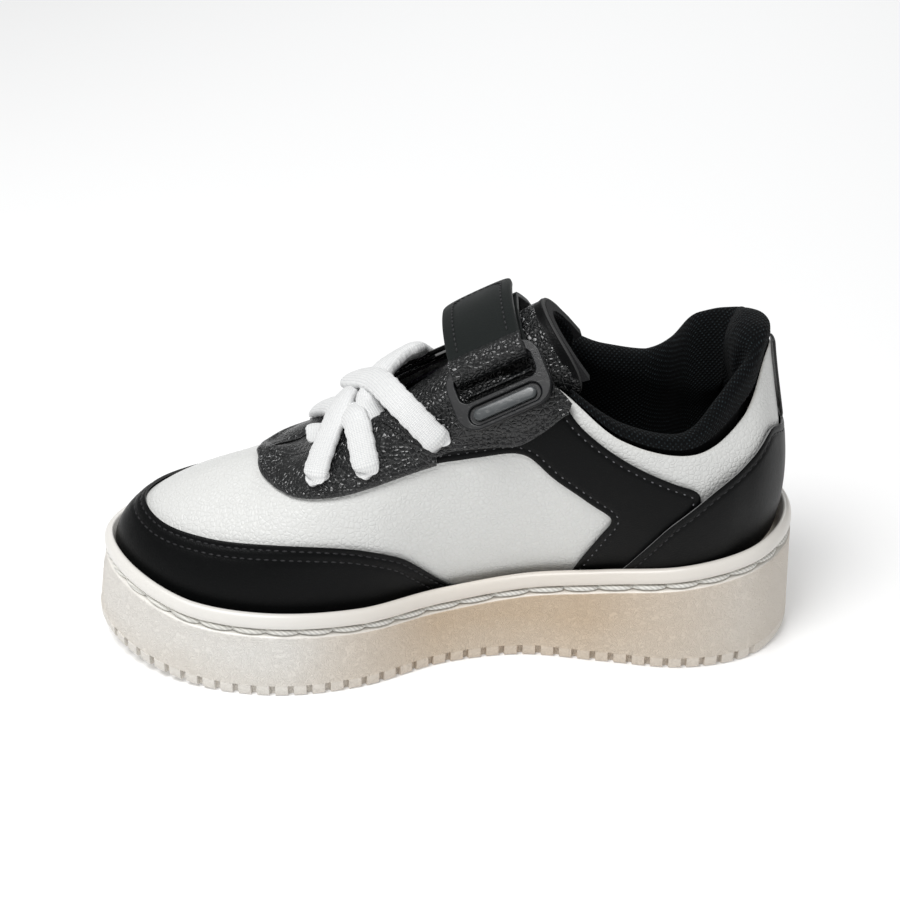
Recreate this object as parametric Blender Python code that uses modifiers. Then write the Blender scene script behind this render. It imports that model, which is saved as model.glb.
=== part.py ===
"""A child's platform trainer, right foot: cup sole, leather upper, padded collar and tongue,
elastic laces, and an instep strap that runs through a plastic ring and folds back on itself.

Toe at -X, heel at +X, inner (medial) side at -Y, outer (lateral) side at +Y, floor at z = 0.
Lengths are in millimetres and become metres where a mesh is made.
"""

import math

import bmesh
import bpy
import numpy as np

MM = 0.001
UP = np.array([0.0, 0.0, 1.0])

# Sole: heights in mm at places along the shoe, heel at +X
TOE_END, HEEL_END = -117.5, 113.7
TO_MIDDLE = np.array([-(TOE_END + HEEL_END) / 2, 0.0, 0.0])  # puts the origin under the sole's middle
WELT_TOP = ((-117.5, 38.0), (-85, 31.4), (-52, 29.8), (0, 27.9), (50, 34.6), (90, 40.2), (117.5, 44.4))
FOOTBED_TOP = ((-117.5, 25.0), (-50, 21.0), (0, 22.0), (50, 28.0), (90, 33.0), (117.5, 35.0))
TOE_SPRING, TOE_SPRING_FROM = 7.0, -70.0
HEEL_BEVEL, HEEL_BEVEL_FROM = 1.9, 95.0
WALL_TAPER, TOE_TAPER, TOE_TAPER_FROM = 1.2, 2.2, -85.0
FOOT_INSET, FOOT_HEIGHT = 1.2, 1.4  # the eased lower edge
# The wall from under its stitched groove up over the rolled welt: depth in from the outline, drop from the top
WALL_PROFILE = ((0.0, 7.8), (2.5, 7.2), (2.5, 5.4), (0.1, 4.8), (0.1, 2.4), (0.9, 0.6), (2.2, 0.0), (2.9, 0.4))
STITCH_SECTION = ((1.0, 6.9), (1.0, 5.8), (1.9, 5.8), (1.9, 6.9))  # the groove's thread, the same way
CUP_FLOOR, CUP_FILLET, CUP_INSIDE_INSET = 10.0, 1.0, 6.2
# Layers inside the cup: inset from the outline, then how far its underside and its top lie below the footbed
FILLER_INSET, FILLER_TOP, FILLER_GAP = 10.5, 6.4, 1.8
BOARD = (11.5, 6.0, 4.4)
SOCK_LINER = (13.5, 4.0, 0.0)
NOTCH_PITCH, NOTCH_WIDTH, NOTCH_HEIGHT, NOTCH_DEPTH = 6.0, 1.8, 4.0, 1.8
SOLE_COLUMNS_PER_STATION = 3

# Upper: layers counted outward from the base leather's outer face
BASE_LEATHER = (-1.0, 1.0)  # where its inner face lies, and its thickness
FIRST_OVERLAY = (0.8, 0.8)
SECOND_OVERLAY = (2.2, 0.9)
# The counter climbs over the saddles' rear edges: station, distance of its inner face
COUNTER_LIFT = ((0.0, 0.9), (1.8, 0.9), (2.5, 2.15), (3.2, 2.26), (3.95, 1.95))
COUNTER_THICKNESS = 0.8
STIFFENER = (-2.4, 0.8)
LINING = (-3.9, 0.8)
FEATHER_INSET, FEATHER_DROP = 8.6, 5.0
TOP_EASE = 0.35  # share of the run from top line to sole that the upper handle takes

# Stations from heel (0) to toe (11); the outer side's top line runs lower and nearer the middle.
#   outline x, inner y, outer y; top line x, inner y, inner z, outer y, outer z;
#   foot lean, foot rise, top spread, top drop
STATIONS = (
    (113.7, 0.0, 0.0, 100.5, 0.0, 103.5, 0.0, 103.5, 5.5, 24.0, 1.8, 26.0),
    (109.4, -17.0, 17.0, 97.5, -9.5, 101.0, 9.5, 100.0, 4.5, 22.0, 4.0, 24.0),
    (96.2, -30.3, 30.5, 90.5, -19.5, 85.5, 19.5, 86.0, 2.0, 17.0, 8.0, 15.0),
    (74.0, -35.3, 35.5, 74.5, -29.0, 77.5, 28.5, 79.0, 3.0, 14.0, 6.0, 12.0),
    (48.0, -30.8, 36.0, 51.0, -30.0, 84.0, 28.5, 84.0, 6.0, 16.0, 6.0, 14.0),
    (22.0, -26.2, 38.0, 26.0, -22.0, 102.0, 20.0, 99.0, 9.0, 18.0, 12.0, 13.0),
    (-4.0, -30.3, 41.5, 0.0, -18.5, 96.0, 14.5, 91.5, 7.0, 18.0, 10.0, 8.0),
    (-30.0, -42.0, 45.0, -21.0, -15.5, 86.0, 11.5, 81.5, 2.0, 18.0, 8.0, 6.0),
    (-58.0, -46.0, 46.0, -38.0, -12.0, 74.5, 8.0, 70.5, 1.5, 18.0, 4.0, 4.0),
    (-88.0, -38.5, 36.5, -48.0, -8.0, 67.5, 5.0, 65.0, 1.5, 18.0, 2.0, 4.0),
    (-109.0, -22.5, 19.5, -54.0, -4.5, 66.0, 2.5, 64.5, 1.0, 18.0, 1.0, 4.0),
    (-117.5, -2.0, -2.0, -56.0, -0.5, 65.5, -0.5, 65.5, 0.5, 18.0, 0.0, 4.0),
)
TOE = len(STATIONS) - 1
AROUND = 2 * TOE  # stations once round the shoe, heel to inner side to toe to outer side

# Where each panel starts, in stations from the heel, and for some where it ends
VAMP_FROM, MUDGUARD_FROM, EYESTAY_FROM, VAMP_LINING_FROM, TOE_PUFF_FROM = 3.62, 5.6, 6.2, 5.2, 9.0
QUARTER_FROM, QUARTER_TO, COUNTER_TO, HEEL_STIFFENER_TO, HEEL_TAB_TO = 0.06, 4.75, 3.95, 2.7, 0.3
PANEL_FOOT, PANEL_TOP = 0.015, 0.985  # height shares of the overlays' lowest and highest edges

# Panel edges on the upper, as (station, height share) on the inner side; the outer side mirrors them
MUDGUARD_TOP = (
    (5.7, 0.03), (5.92, 0.10), (6.2, 0.20), (6.5, 0.28), (7.0, 0.345), (7.7, 0.39),
    (8.4, 0.405), (9.1, 0.39), (9.9, 0.35), (11.0, 0.34),
)
EYESTAY_LOW = (
    (6.2, 0.64), (6.7, 0.63), (7.4, 0.61), (8.05, 0.64), (8.5, 0.70), (9.0, 0.77),
    (10.15, 0.885), (11.0, 0.90),
)
SADDLE_FRONT = (
    (6.18, 0.645), (5.6, 0.64), (5.1, 0.64), (4.7, 0.58), (4.3, 0.54),
    (3.98, 0.47), (4.12, 0.32), (4.34, 0.14), (4.47, 0.02),
)
SADDLE_BACK = (
    (6.18, 0.985), (5.5, 0.985), (4.85, 0.975), (4.5, 0.90), (3.99, 0.885),
    (3.3, 0.79), (2.9, 0.66), (3.1, 0.34), (3.4, 0.02),
)
FACING_LOW = (
    (6.98, 0.93), (6.34, 0.70), (5.95, 0.69), (5.5, 0.68), (5.16, 0.685), (4.86, 0.77), (4.62, 0.91),
)
FACING_HIGH = (
    (7.0, 0.975), (6.5, 0.985), (6.0, 0.985), (5.5, 0.985), (5.1, 0.985), (4.8, 0.985), (4.6, 0.975),
)
COUNTER_TOP = (
    (0.0, 0.57), (0.5, 0.585), (1.0, 0.65), (1.4, 0.72), (1.8, 0.74), (2.24, 0.73), (2.56, 0.71),
    (2.84, 0.65), (3.23, 0.49), (3.48, 0.33), (3.78, 0.11), (3.92, 0.03),
)
VAMP_SEAM = ((3.6, 0.05), (3.7, 0.30), (3.8, 0.50), (4.2, 0.65), (4.6, 0.80), (5.0, 0.97))
QUARTER_SEAM = ((3.5, 0.02), (3.6, 0.30), (3.7, 0.51), (4.1, 0.67), (4.5, 0.82), (4.75, 0.92))
COLLAR_LIFT = (  # the outer side, at minus places, rises further forward than the inner
    (-4.85, 3.0), (-3.6, 6.0), (-3.3, 8.0), (-3.0, 13.5), (-2.6, 22.5), (-2.0, 22.5), (-1.5, 17.0),
    (-1.0, 11.0), (0.0, 8.5), (1.0, 9.5), (1.5, 14.0), (2.0, 19.0), (2.5, 16.0), (3.0, 8.5), (3.5, 6.0),
    (4.85, 3.0),
)
COLLAR_DEPTH = ((0.0, 13.5), (1.0, 13.0), (2.0, 12.5), (3.0, 9.0), (4.0, 7.5), (4.6, 5.5))
COLLAR_SQUARE = ((0.0, 0.4), (1.0, 0.4), (2.0, 0.8), (3.0, 1.0))  # turns the depth to -X at the tight heel
COLLAR_END = 4.6
# Down the lining and over its roll: height share, depth inward, share of the collar's depth and of its lift
COLLAR_SKIN = (
    (0.08, 3.9, 0.0, 0.0), (0.28, 3.7, 0.05, 0.0), (0.46, 2.0, 0.4, 0.0), (0.64, 0.5, 0.72, 0.0),
    (0.82, 0.0, 0.93, 0.0), (0.96, 0.0, 1.0, 0.1), (0.98, 0.0, 0.98, 0.5), (0.99, 0.0, 0.82, 0.85),
    (0.99, 0.0, 0.58, 1.0), (0.99, 0.2, 0.32, 0.96), (0.99, 0.4, 0.06, 0.76), (0.99, 0.5, 0.0, 0.36),
)
COLLAR_THICKNESS = 0.6
COLLAR_FOAM_FROM, COLLAR_FOAM_SHARE = 3, 0.42
EYELETS = ((7.85, 0.75), (7.13, 0.73), (6.23, 0.77))
EYELET_RADIUS, EYELET_CUT = 2.6, 6.0

# Tongue: an arch over the instep, from its sewn base to its free top edge
TONGUE_LINE = ((-48.0, 62.5), (-30.0, 74.0), (-8.0, 90.0), (12.0, 105.0), (28.5, 117.5))
TONGUE_SWAY = (-1.5, -2.0, -2.0, -2.0, -1.5)  # towards the inner side
TONGUE_HALF_WIDTH = (8.0, 11.0, 14.0, 17.0, 19.0)
TONGUE_ARCH = (3.0, 7.0, 12.0, 20.0, 29.0)
TONGUE_TILT = math.radians(36.0)
TONGUE_WRAP = math.radians(78.0)  # how far round the arch each side reaches
TONGUE_LAYERS = {"tongue_shell": (-1.2, 0.9), "tongue_foam": (-5.4, 3.9), "tongue_lining": (-6.6, 0.9)}

# Strap and ring: w runs across the strap's width, q rises square to it, y runs over the instep
STRAP_TILT = math.radians(26.0)
STRAP_W, STRAP_WIDTH = 57.0, 24.0
STRAP_Q = 35.0  # centre of the arc that the strap makes over the instep
STRAP_SIDE = ((0.62, 0.0), (0.70, 0.0), (0.78, 0.2), (0.86, 0.5), (0.93, 1.0))  # height share, extra lift
STRAP_PLACE, STRAP_LIFT = AROUND - 5.45, 5.0  # where its lower run comes up the outer side, and how far out
FLAP_RADIUS, HOOK_RADIUS, LOOP_RADIUS, RUN_RADIUS = 62.9, 61.3, 60.0, 58.4
# Each layer's stretch of the arc, in degrees from the top towards the outer side
FLAP_ARC, HOOK_ARC, LOOP_ARC, RUN_ARC = (-17.6, 22.0), (2.0, 17.5), (-7.0, 12.7), (13.2, -12.3)
FOLD_ARC = (190, 345)  # round the ring's bar
RUN_END, FOLD_START = (-15.5, 89.6), (-16.0, 89.4)
FLAP_HINGE = -18.0
STRAP_THICKNESS, TAPE_THICKNESS, TAPE_WIDTH = 1.6, 1.0, 18.0
FOLD_GAP = 0.4
BAR_Y, BAR_Q, BAR_RADIUS = -21.0, 92.25, 2.42  # the radius that clears the bar's corners
RING_SLOPE = math.radians(47.0)
RING_WIDTH, RING_TOP, RING_BOTTOM, RING_THICKNESS = 31.4, -1.6, 19.8, 3.2
RING_CORNER, RING_EDGE = 5.5, 0.7
RING_OPENING, OPENING_CORNER = (1.8, 10.6, 25.4), 2.2  # from, to and width
# Half width, from, to and corner radius down the ring's face, then back and front
RECESS, RECESS_DEPTHS = (11.6, 12.4, 18.2, 2.85), (0.9, 4.0)
INLAY, INLAY_DEPTHS, INLAY_EDGE = (10.6, 13.4, 17.2, 1.85), (1.2, 2.3), 0.3
ANCHOR_PATH = ((17.5, -3.2), (14.0, -2.7), (9.8, -2.5), (8.6, -1.6), (8.4, 0.2))  # down and out from the bar
ANCHOR_WIDTH, ANCHOR_THICKNESS = 22.0, 1.2
LACE_WIDTH, LACE_THICKNESS, LACE_END_SHARE, LACE_EDGE_LIFT = 7.0, 1.6, 0.55, 0.6
LACE_DIVE = ((-14.0, 2.0, 91.5), (-19.0, -8.0, 87.0))  # where the rear strand goes down beside the tongue
LACE_BAR = ((-43.0, -6.0, 70.5), (-43.0, 0.0, 72.5), (-43.0, 5.0, 70.5))


def remove_everything():
    for thing in list(bpy.data.objects):
        bpy.data.objects.remove(thing, do_unlink=True)


def collection(name):
    made = bpy.data.collections.new(name)
    bpy.context.scene.collection.children.link(made)
    return made


def finish_of(name, colour, roughness, metallic=0.0):
    made = bpy.data.materials.new(name)
    made.use_nodes = True
    shader = made.node_tree.nodes["Principled BSDF"]
    shader.inputs["Base Color"].default_value = (*colour, 1.0)
    shader.inputs["Roughness"].default_value = roughness
    shader.inputs["Metallic"].default_value = metallic
    return made


remove_everything()
SHOE = collection("platform_trainer")
CUTTERS = collection("cutters")
WHITE_LEATHER = ((0.82, 0.81, 0.78), 0.45)
BLACK_LEATHER = ((0.015, 0.015, 0.016), 0.42)
PEBBLED_LEATHER = ((0.018, 0.018, 0.020), 0.38)
BLACK_MESH = ((0.010, 0.010, 0.012), 0.90)
WHITE_RUBBER = ((0.80, 0.79, 0.76), 0.55)
WHITE_KNIT = ((0.85, 0.85, 0.84), 0.85)
EVA_FOAM = ((0.75, 0.74, 0.70), 0.80)
PAPER_BOARD = ((0.62, 0.54, 0.42), 0.85)
GREY_FOAM = ((0.35, 0.35, 0.36), 0.95)
BLACK_PLASTIC = ((0.03, 0.03, 0.032), 0.35)
GREY_PLASTIC = ((0.20, 0.20, 0.21), 0.22)
BLACK_TAPE = ((0.012, 0.012, 0.013), 0.95)


def along(table, at):
    """A value read between the listed (place, value) pairs."""
    places, values = zip(*table)
    return np.interp(at, places, values)


def smooth_path(points, pieces):
    """The points joined by a Catmull-Rom curve, with this many steps between neighbours."""
    points = np.array(points, float)
    ends = np.vstack([2 * points[0] - points[1], points, 2 * points[-1] - points[-2]])
    path = []
    for start in range(len(points) - 1):
        a, b, c, d = ends[start : start + 4]
        for step in range(pieces):
            t = step / pieces
            path.append(b + 0.5 * t * (c - a + t * (2 * a - 5 * b + 4 * c - d + t * (3 * (b - c) + d - a))))
    return np.array(path + [points[-1]])


def put_in_scene(name, bm, look, pivot=(0, 0, 0)):
    """The bmesh, in millimetres, as an object in metres whose origin is the pivot."""
    origin = np.array(pivot) + TO_MIDDLE if any(pivot) else np.zeros(3)
    for vertex in bm.verts:
        vertex.co = [(vertex.co[axis] + TO_MIDDLE[axis] - origin[axis]) * MM for axis in range(3)]
    mesh = bpy.data.meshes.new(name)
    bm.to_mesh(mesh)
    bm.free()
    mesh.shade_smooth()
    mesh.set_sharp_from_angle(angle=math.radians(40))
    mesh.materials.append(finish_of(name, *look))
    made = bpy.data.objects.new(name, mesh)
    made.location = [value * MM for value in origin]
    SHOE.objects.link(made)
    return made


def cutter(name, bm):
    for vertex in bm.verts:
        vertex.co = [(vertex.co[axis] + TO_MIDDLE[axis]) * MM for axis in range(3)]
    mesh = bpy.data.meshes.new(name)
    bm.to_mesh(mesh)
    bm.free()
    made = bpy.data.objects.new(name, mesh)
    made.hide_render = True
    made.display_type = "WIRE"
    CUTTERS.objects.link(made)
    return made


def cut(piece, tool):
    modifier = piece.modifiers.new("cut", "BOOLEAN")
    modifier.operation = "DIFFERENCE"
    modifier.solver = "EXACT"
    modifier.object = tool


def solidify(piece, thickness):
    modifier = piece.modifiers.new("thickness", "SOLIDIFY")
    modifier.thickness = thickness * MM
    modifier.offset = 1.0


def lofted(name, rings, look, pivot=(0, 0, 0), closed=False):
    """A solid through rings of equal count: capped at both ends, or joined end to end if closed."""
    bm = bmesh.new()
    loops = [[bm.verts.new(point) for point in ring] for ring in rings]
    count = len(loops[0])
    pairs = list(zip(loops, loops[1:]))
    if closed:
        pairs.append((loops[-1], loops[0]))
    for low, high in pairs:
        for i in range(count):
            j = (i + 1) % count
            bm.faces.new((low[i], low[j], high[j], high[i]))
    if not closed:
        bm.faces.new(loops[0][::-1])
        bm.faces.new(loops[-1])
    bmesh.ops.recalc_face_normals(bm, faces=bm.faces)
    return put_in_scene(name, bm, look, pivot)


# --- the outline and the sole -------------------------------------------------------------------


def station_rows():
    """One row for each station all the way round: outline x, y, top x, y, z and the four handles."""
    rows = []
    for place in range(AROUND):
        x, inner_y, outer_y, top_x, *tops = STATIONS[min(place, AROUND - place)]
        inner = place <= TOE
        side_top = tops[:2] if inner else tops[2:4]
        rows.append([x, inner_y if inner else outer_y, top_x, *side_top, *tops[4:]])
    return np.array(rows)


ROWS = station_rows()


def between_stations(rows, place):
    """The rows' values at a place, which counts stations round the shoe from the heel."""
    first = math.floor(place)
    t = place - first
    a, b, c, d = (rows[(first + step) % AROUND] for step in (-1, 0, 1, 2))
    return b + 0.5 * t * (c - a + t * (2 * a - 5 * b + 4 * c - d + t * (3 * (b - c) + d - a)))


def outline(place):
    return between_stations(ROWS[:, :2], place)


def outward(place):
    """The unit direction, level and square to the outline, that points away from the shoe."""
    step = 0.01
    forward = outline(place + step) - outline(place - step)
    return np.array([-forward[1], forward[0]]) / np.linalg.norm(forward)


def sole_bottom(x):
    """The height of the sole's underside, which lifts at the toe and a little at the heel."""
    toe = max(0.0, (TOE_SPRING_FROM - x) / (TOE_SPRING_FROM - TOE_END))
    heel = max(0.0, (x - HEEL_BEVEL_FROM) / (HEEL_END - HEEL_BEVEL_FROM))
    return TOE_SPRING * toe**1.7 + HEEL_BEVEL * heel**1.7


def sole_inset(x):
    """How far the wall's top stands in from its foot."""
    toe = np.clip((TOE_TAPER_FROM - x) / (TOE_TAPER_FROM - TOE_END), 0.0, 1.0)
    return WALL_TAPER + TOE_TAPER * toe


def sole_places(per_station=SOLE_COLUMNS_PER_STATION):
    return [step / per_station for step in range(AROUND * per_station)]


def sole_ring(inset, height, taper=0.0):
    """A level line round the sole, set in from its outline; height is a function of x."""
    ring = []
    for place in sole_places():
        x, y = outline(place)
        across = outward(place)
        depth = inset + taper * sole_inset(x)
        ring.append((x - across[0] * depth, y - across[1] * depth, height(x)))
    return ring


def flat_ring(share, height):
    """The outline shrunk towards the middle of the tread; height is a function of x."""
    flat = [outline(place) * share for place in sole_places()]
    return [(x, y, height(x)) for x, y in flat]


def welt(down):
    return lambda x: along(WELT_TOP, x) - down


def make_cup_sole():
    rings = [
        flat_ring(0.55, lambda x: 0.0),
        sole_ring(FOOT_INSET, sole_bottom),
        sole_ring(0.0, lambda x: sole_bottom(x) + FOOT_HEIGHT),
        *[sole_ring(inset, welt(down), 1.0) for inset, down in WALL_PROFILE],
        sole_ring(CUP_INSIDE_INSET, lambda x: CUP_FLOOR + sole_bottom(x) + CUP_FILLET),
        flat_ring(0.8, lambda x: CUP_FLOOR + sole_bottom(x)),
        flat_ring(0.5, lambda x: CUP_FLOOR),
    ]
    sole = lofted("cup_sole", rings, WHITE_RUBBER)
    cut(sole, notch_cutter())


def notch_cutter():
    """Boxes that cut the short vertical notches along the sole's lower edge, both sides."""
    bm = bmesh.new()
    steps = np.arange(1.9, 10.2, 0.01)
    for side in (1, -1):
        places = [step if side > 0 else AROUND - step for step in steps]
        points = np.array([outline(place) for place in places])
        run = np.concatenate([[0], np.cumsum(np.linalg.norm(np.diff(points, axis=0), axis=1))])
        for distance in np.arange(0.0, run[-1], NOTCH_PITCH):
            place = float(np.interp(distance, run, places))
            add_notch(bm, place)
    return cutter("notch_cutter", bm)


def add_notch(bm, place):
    x, y = outline(place)
    away = outward(place)
    sideways = np.array([-away[1], away[0]])
    base = sole_bottom(x)
    box = bmesh.ops.create_cube(bm, size=1.0)["verts"]
    reach = NOTCH_DEPTH + 3.0
    for vertex in box:
        out = vertex.co.x * reach + 3.0 - reach / 2
        flat = np.array([x, y]) + away * out + sideways * vertex.co.y * NOTCH_WIDTH
        vertex.co = (flat[0], flat[1], base + (vertex.co.z + 0.5) * (NOTCH_HEIGHT + 2.0) - 2.0)


def make_sidewall_stitch():
    """The thread that lies in the groove below the sole's rolled top edge."""
    rows = [sole_ring(inset, welt(down), 1.0) for inset, down in STITCH_SECTION]
    lofted("sidewall_stitch", list(zip(*rows)), WHITE_KNIT, closed=True)


def bed(name, inset, low, high, look, first, last):
    """A layer inside the cup: its rim follows the outline, low and high are heights at x."""
    rings = []
    for place in np.linspace(first, last, 23):
        inner = outline(place) - outward(place) * inset
        outer = outline(AROUND - place) - outward(AROUND - place) * inset
        middle = (inner + outer) / 2
        row = [inner, middle, outer]
        ring = [(x, y, low(x)) for x, y in row] + [(x, y, high(x)) for x, y in reversed(row)]
        rings.append(ring)
    lofted(name, rings, look)


def footbed(down):
    return lambda x: along(FOOTBED_TOP, x) - down


def cup_floor(x):
    return CUP_FLOOR + sole_bottom(x) + FILLER_GAP


def make_beds():
    bed("midsole_filler", FILLER_INSET, cup_floor, footbed(FILLER_TOP), EVA_FOAM, 0.3, TOE - 0.7)
    inset, under, top = BOARD
    bed("insole_board", inset, footbed(under), footbed(top), PAPER_BOARD, 0.3, TOE - 0.4)
    inset, under, top = SOCK_LINER
    bed("sock_liner", inset, footbed(under), footbed(top), BLACK_MESH, 0.4, TOE - 0.5)


# --- the upper ----------------------------------------------------------------------------------


def upper_surface(place, height):
    """A point on the base leather's outer face: height runs from 0 at the sole to 1 at the top line."""
    row = between_stations(ROWS, place)
    away = np.array([*outward(place), 0.0])
    foot_x, foot_y = row[:2] - away[:2] * FEATHER_INSET
    foot = np.array([foot_x, foot_y, along(WELT_TOP, row[0]) - FEATHER_DROP])
    top = row[2:5]
    lean, rise, spread, drop = row[5:]
    foot_handle = foot + away * lean + UP * rise
    top_handle = top + (foot - top) * (TOP_EASE, TOP_EASE, 0.0) + away * spread - UP * drop
    rest = 1.0 - height
    return (
        rest**3 * foot
        + 3 * rest**2 * height * foot_handle
        + 3 * rest * height**2 * top_handle
        + height**3 * top
    )


def upper_normal(place, height):
    step = 0.005
    along_shoe = upper_surface(place + step, height) - upper_surface(place - step, height)
    up_shoe = upper_surface(place, height + step) - upper_surface(place, height - step)
    normal = np.cross(up_shoe, along_shoe)
    return normal / np.linalg.norm(normal)


def on_upper(place, height, out):
    return upper_surface(place, height) + upper_normal(place, height) * out


def panel(name, low_edge, high_edge, rows, layer, look):
    """A leather or lining panel between two edges on the upper; the edges run heel to toe."""
    inner_face, thickness = layer
    bm = bmesh.new()
    bmesh.ops.create_grid(bm, x_segments=rows, y_segments=len(low_edge) - 1, size=1.0)
    low_edge, high_edge = np.array(low_edge), np.array(high_edge)
    for vertex in bm.verts:
        share = (vertex.co.x + 1) / 2
        column = round((vertex.co.y + 1) / 2 * (len(low_edge) - 1))
        place, height = low_edge[column] * (1 - share) + high_edge[column] * share
        out = inner_face(place) if callable(inner_face) else inner_face
        vertex.co = on_upper(place, height, out)
    piece = put_in_scene(name, bm, look)
    solidify(piece, thickness)
    return piece


def columns(first, last, per_station=2):
    """Places from first to last, on the common grid of station fractions between them."""
    inside = [
        step / per_station
        for step in range(math.floor(first * per_station), math.ceil(last * per_station) + 1)
        if first + 0.1 < step / per_station < last - 0.1
    ]
    return [first, *inside, last]


def from_heel(place):
    """A place's distance from the heel in stations, the same on both sides."""
    return min(place % AROUND, AROUND - place % AROUND)


def other_side(edge):
    """The same edge on the outer side, again running in the direction heel to heel."""
    return [(AROUND - place, height) for place, height in reversed(edge)]


def make_vamp():
    """The white forefoot: it runs under the mudguard, the eyestay and the front of both saddles."""
    places = columns(VAMP_FROM, AROUND - VAMP_FROM)
    low = [(place, 0.02) for place in places]
    high = [(place, along(VAMP_SEAM, from_heel(place))) for place in places]
    panel("vamp", low, high, 7, BASE_LEATHER, WHITE_LEATHER)


def make_quarters():
    """The white collar panels: they run under the saddles and the heel counter."""
    places = columns(QUARTER_FROM, QUARTER_TO)
    low = [(place, along(QUARTER_SEAM, place)) for place in places]
    high = [(place, 0.99) for place in places]
    panel("collar_panel_medial", low, high, 5, BASE_LEATHER, WHITE_LEATHER)
    panel("collar_panel_lateral", other_side(low), other_side(high), 5, BASE_LEATHER, WHITE_LEATHER)


def make_mudguard():
    places = columns(MUDGUARD_FROM, AROUND - MUDGUARD_FROM)
    low = [(place, PANEL_FOOT) for place in places]
    high = [(place, along(MUDGUARD_TOP, from_heel(place))) for place in places]
    panel("mudguard", low, high, 3, FIRST_OVERLAY, BLACK_LEATHER)


def make_eyestay():
    places = columns(EYESTAY_FROM, AROUND - EYESTAY_FROM)
    low = [(place, along(EYESTAY_LOW, from_heel(place))) for place in places]
    high = [(place, PANEL_TOP) for place in places]
    piece = panel("eyestay_front", low, high, 3, FIRST_OVERLAY, BLACK_LEATHER)
    cut(piece, eyelet_cutter("eyelet_cutter_front", EYELETS[:2], (1, -1)))


def make_saddles():
    low = [tuple(point) for point in smooth_path(SADDLE_FRONT, 2)][::-1]
    high = [tuple(point) for point in smooth_path(SADDLE_BACK, 2)][::-1]
    panel("saddle_medial", low, high, 4, FIRST_OVERLAY, BLACK_LEATHER)
    panel("saddle_lateral", other_side(low), other_side(high), 4, FIRST_OVERLAY, BLACK_LEATHER)


def make_facings():
    low = [tuple(point) for point in smooth_path(FACING_LOW, 2)][::-1]
    high = [tuple(point) for point in smooth_path(FACING_HIGH, 2)][::-1]
    inner = panel("facing_medial", low, high, 3, SECOND_OVERLAY, PEBBLED_LEATHER)
    outer = panel("facing_lateral", other_side(low), other_side(high), 3, SECOND_OVERLAY, PEBBLED_LEATHER)
    cut(inner, eyelet_cutter("eyelet_cutter_medial", EYELETS[2:], (1,)))
    cut(outer, eyelet_cutter("eyelet_cutter_lateral", EYELETS[2:], (-1,)))


def eyelet_cutter(name, eyelets, sides):
    """Short cylinders square to the upper, one through each lace hole."""
    bm = bmesh.new()
    for place, height in eyelets:
        for side in sides:
            where = place if side > 0 else AROUND - place
            middle = on_upper(where, height, 2.0)
            axis = upper_normal(where, height)
            sideways = np.cross(axis, UP) / np.linalg.norm(np.cross(axis, UP))
            third = np.cross(axis, sideways)
            tool = bmesh.ops.create_cone(
                bm, cap_ends=True, segments=8, radius1=EYELET_RADIUS, radius2=EYELET_RADIUS, depth=EYELET_CUT
            )
            for vertex in tool["verts"]:
                x, y, z = vertex.co
                vertex.co = middle + sideways * x + third * y + axis * z
    return cutter(name, bm)


def make_heel_counter():
    """The black counter round the heel, over the saddles' rear edges."""
    places = columns(-COUNTER_TO, COUNTER_TO)
    low = [(place, PANEL_FOOT) for place in places]
    high = [(place, along(COUNTER_TOP, abs(place))) for place in places]
    lift = (lambda place: along(COUNTER_LIFT, abs(place)), COUNTER_THICKNESS)
    panel("heel_counter", low, high, 5, lift, BLACK_LEATHER)


def make_heel_tab():
    places = np.linspace(-HEEL_TAB_TO, HEEL_TAB_TO, 4)
    low = [(place, 0.60) for place in places]
    high = [(place, 0.99) for place in places]
    panel("heel_tab", low, high, 3, FIRST_OVERLAY, BLACK_LEATHER)


def make_stiffeners():
    toe = columns(TOE_PUFF_FROM, AROUND - TOE_PUFF_FROM)
    panel("toe_puff", [(p, 0.03) for p in toe], [(p, 0.55) for p in toe], 3, STIFFENER, PAPER_BOARD)
    heel = columns(-HEEL_STIFFENER_TO, HEEL_STIFFENER_TO)
    panel("heel_stiffener", [(p, 0.03) for p in heel], [(p, 0.62) for p in heel], 4, STIFFENER, PAPER_BOARD)


def make_vamp_lining():
    places = columns(VAMP_LINING_FROM, AROUND - VAMP_LINING_FROM)
    low = [(place, 0.03) for place in places]
    high = [(place, 0.97) for place in places]
    panel("vamp_lining", low, high, 6, LINING, BLACK_MESH)


def collar_section(place, profile):
    """Points across the collar, each a height share, a depth inward and a lift above the top line."""
    lift = along(COLLAR_LIFT, place)
    depth = along(COLLAR_DEPTH, abs(place))
    inward = -np.array([1.0, along(COLLAR_SQUARE, abs(place)), 1.0]) * depth
    return [
        on_upper(place, height, -near) + inward * upper_normal(place, height) * share + UP * lift * rise
        for height, near, share, rise in profile
    ]


def make_collar():
    """Mesh lining that rises from the top line, rolls over the foam and runs down inside."""
    places = columns(-COLLAR_END, COLLAR_END)
    sections = [collar_section(place, COLLAR_SKIN) for place in places]
    bm = bmesh.new()
    bmesh.ops.create_grid(bm, x_segments=len(COLLAR_SKIN) - 1, y_segments=len(places) - 1, size=1.0)
    for vertex in bm.verts:
        row = round((vertex.co.x + 1) / 2 * (len(COLLAR_SKIN) - 1))
        column = round((vertex.co.y + 1) / 2 * (len(places) - 1))
        vertex.co = sections[column][row]
    lining = put_in_scene("collar_lining", bm, BLACK_MESH)
    modifier = lining.modifiers.new("thickness", "SOLIDIFY")
    modifier.thickness = COLLAR_THICKNESS * MM
    modifier.offset = 0.0
    lofted("collar_foam", [foam_section(section) for section in sections[1:-1]], GREY_FOAM)


def foam_section(section):
    """The foam fills the rolled part of the lining, a little clear of it all round."""
    roll = np.array(section[COLLAR_FOAM_FROM:])
    middle = roll.mean(axis=0)
    return middle + (roll - middle) * COLLAR_FOAM_SHARE


# --- the tongue ---------------------------------------------------------------------------------


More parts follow.
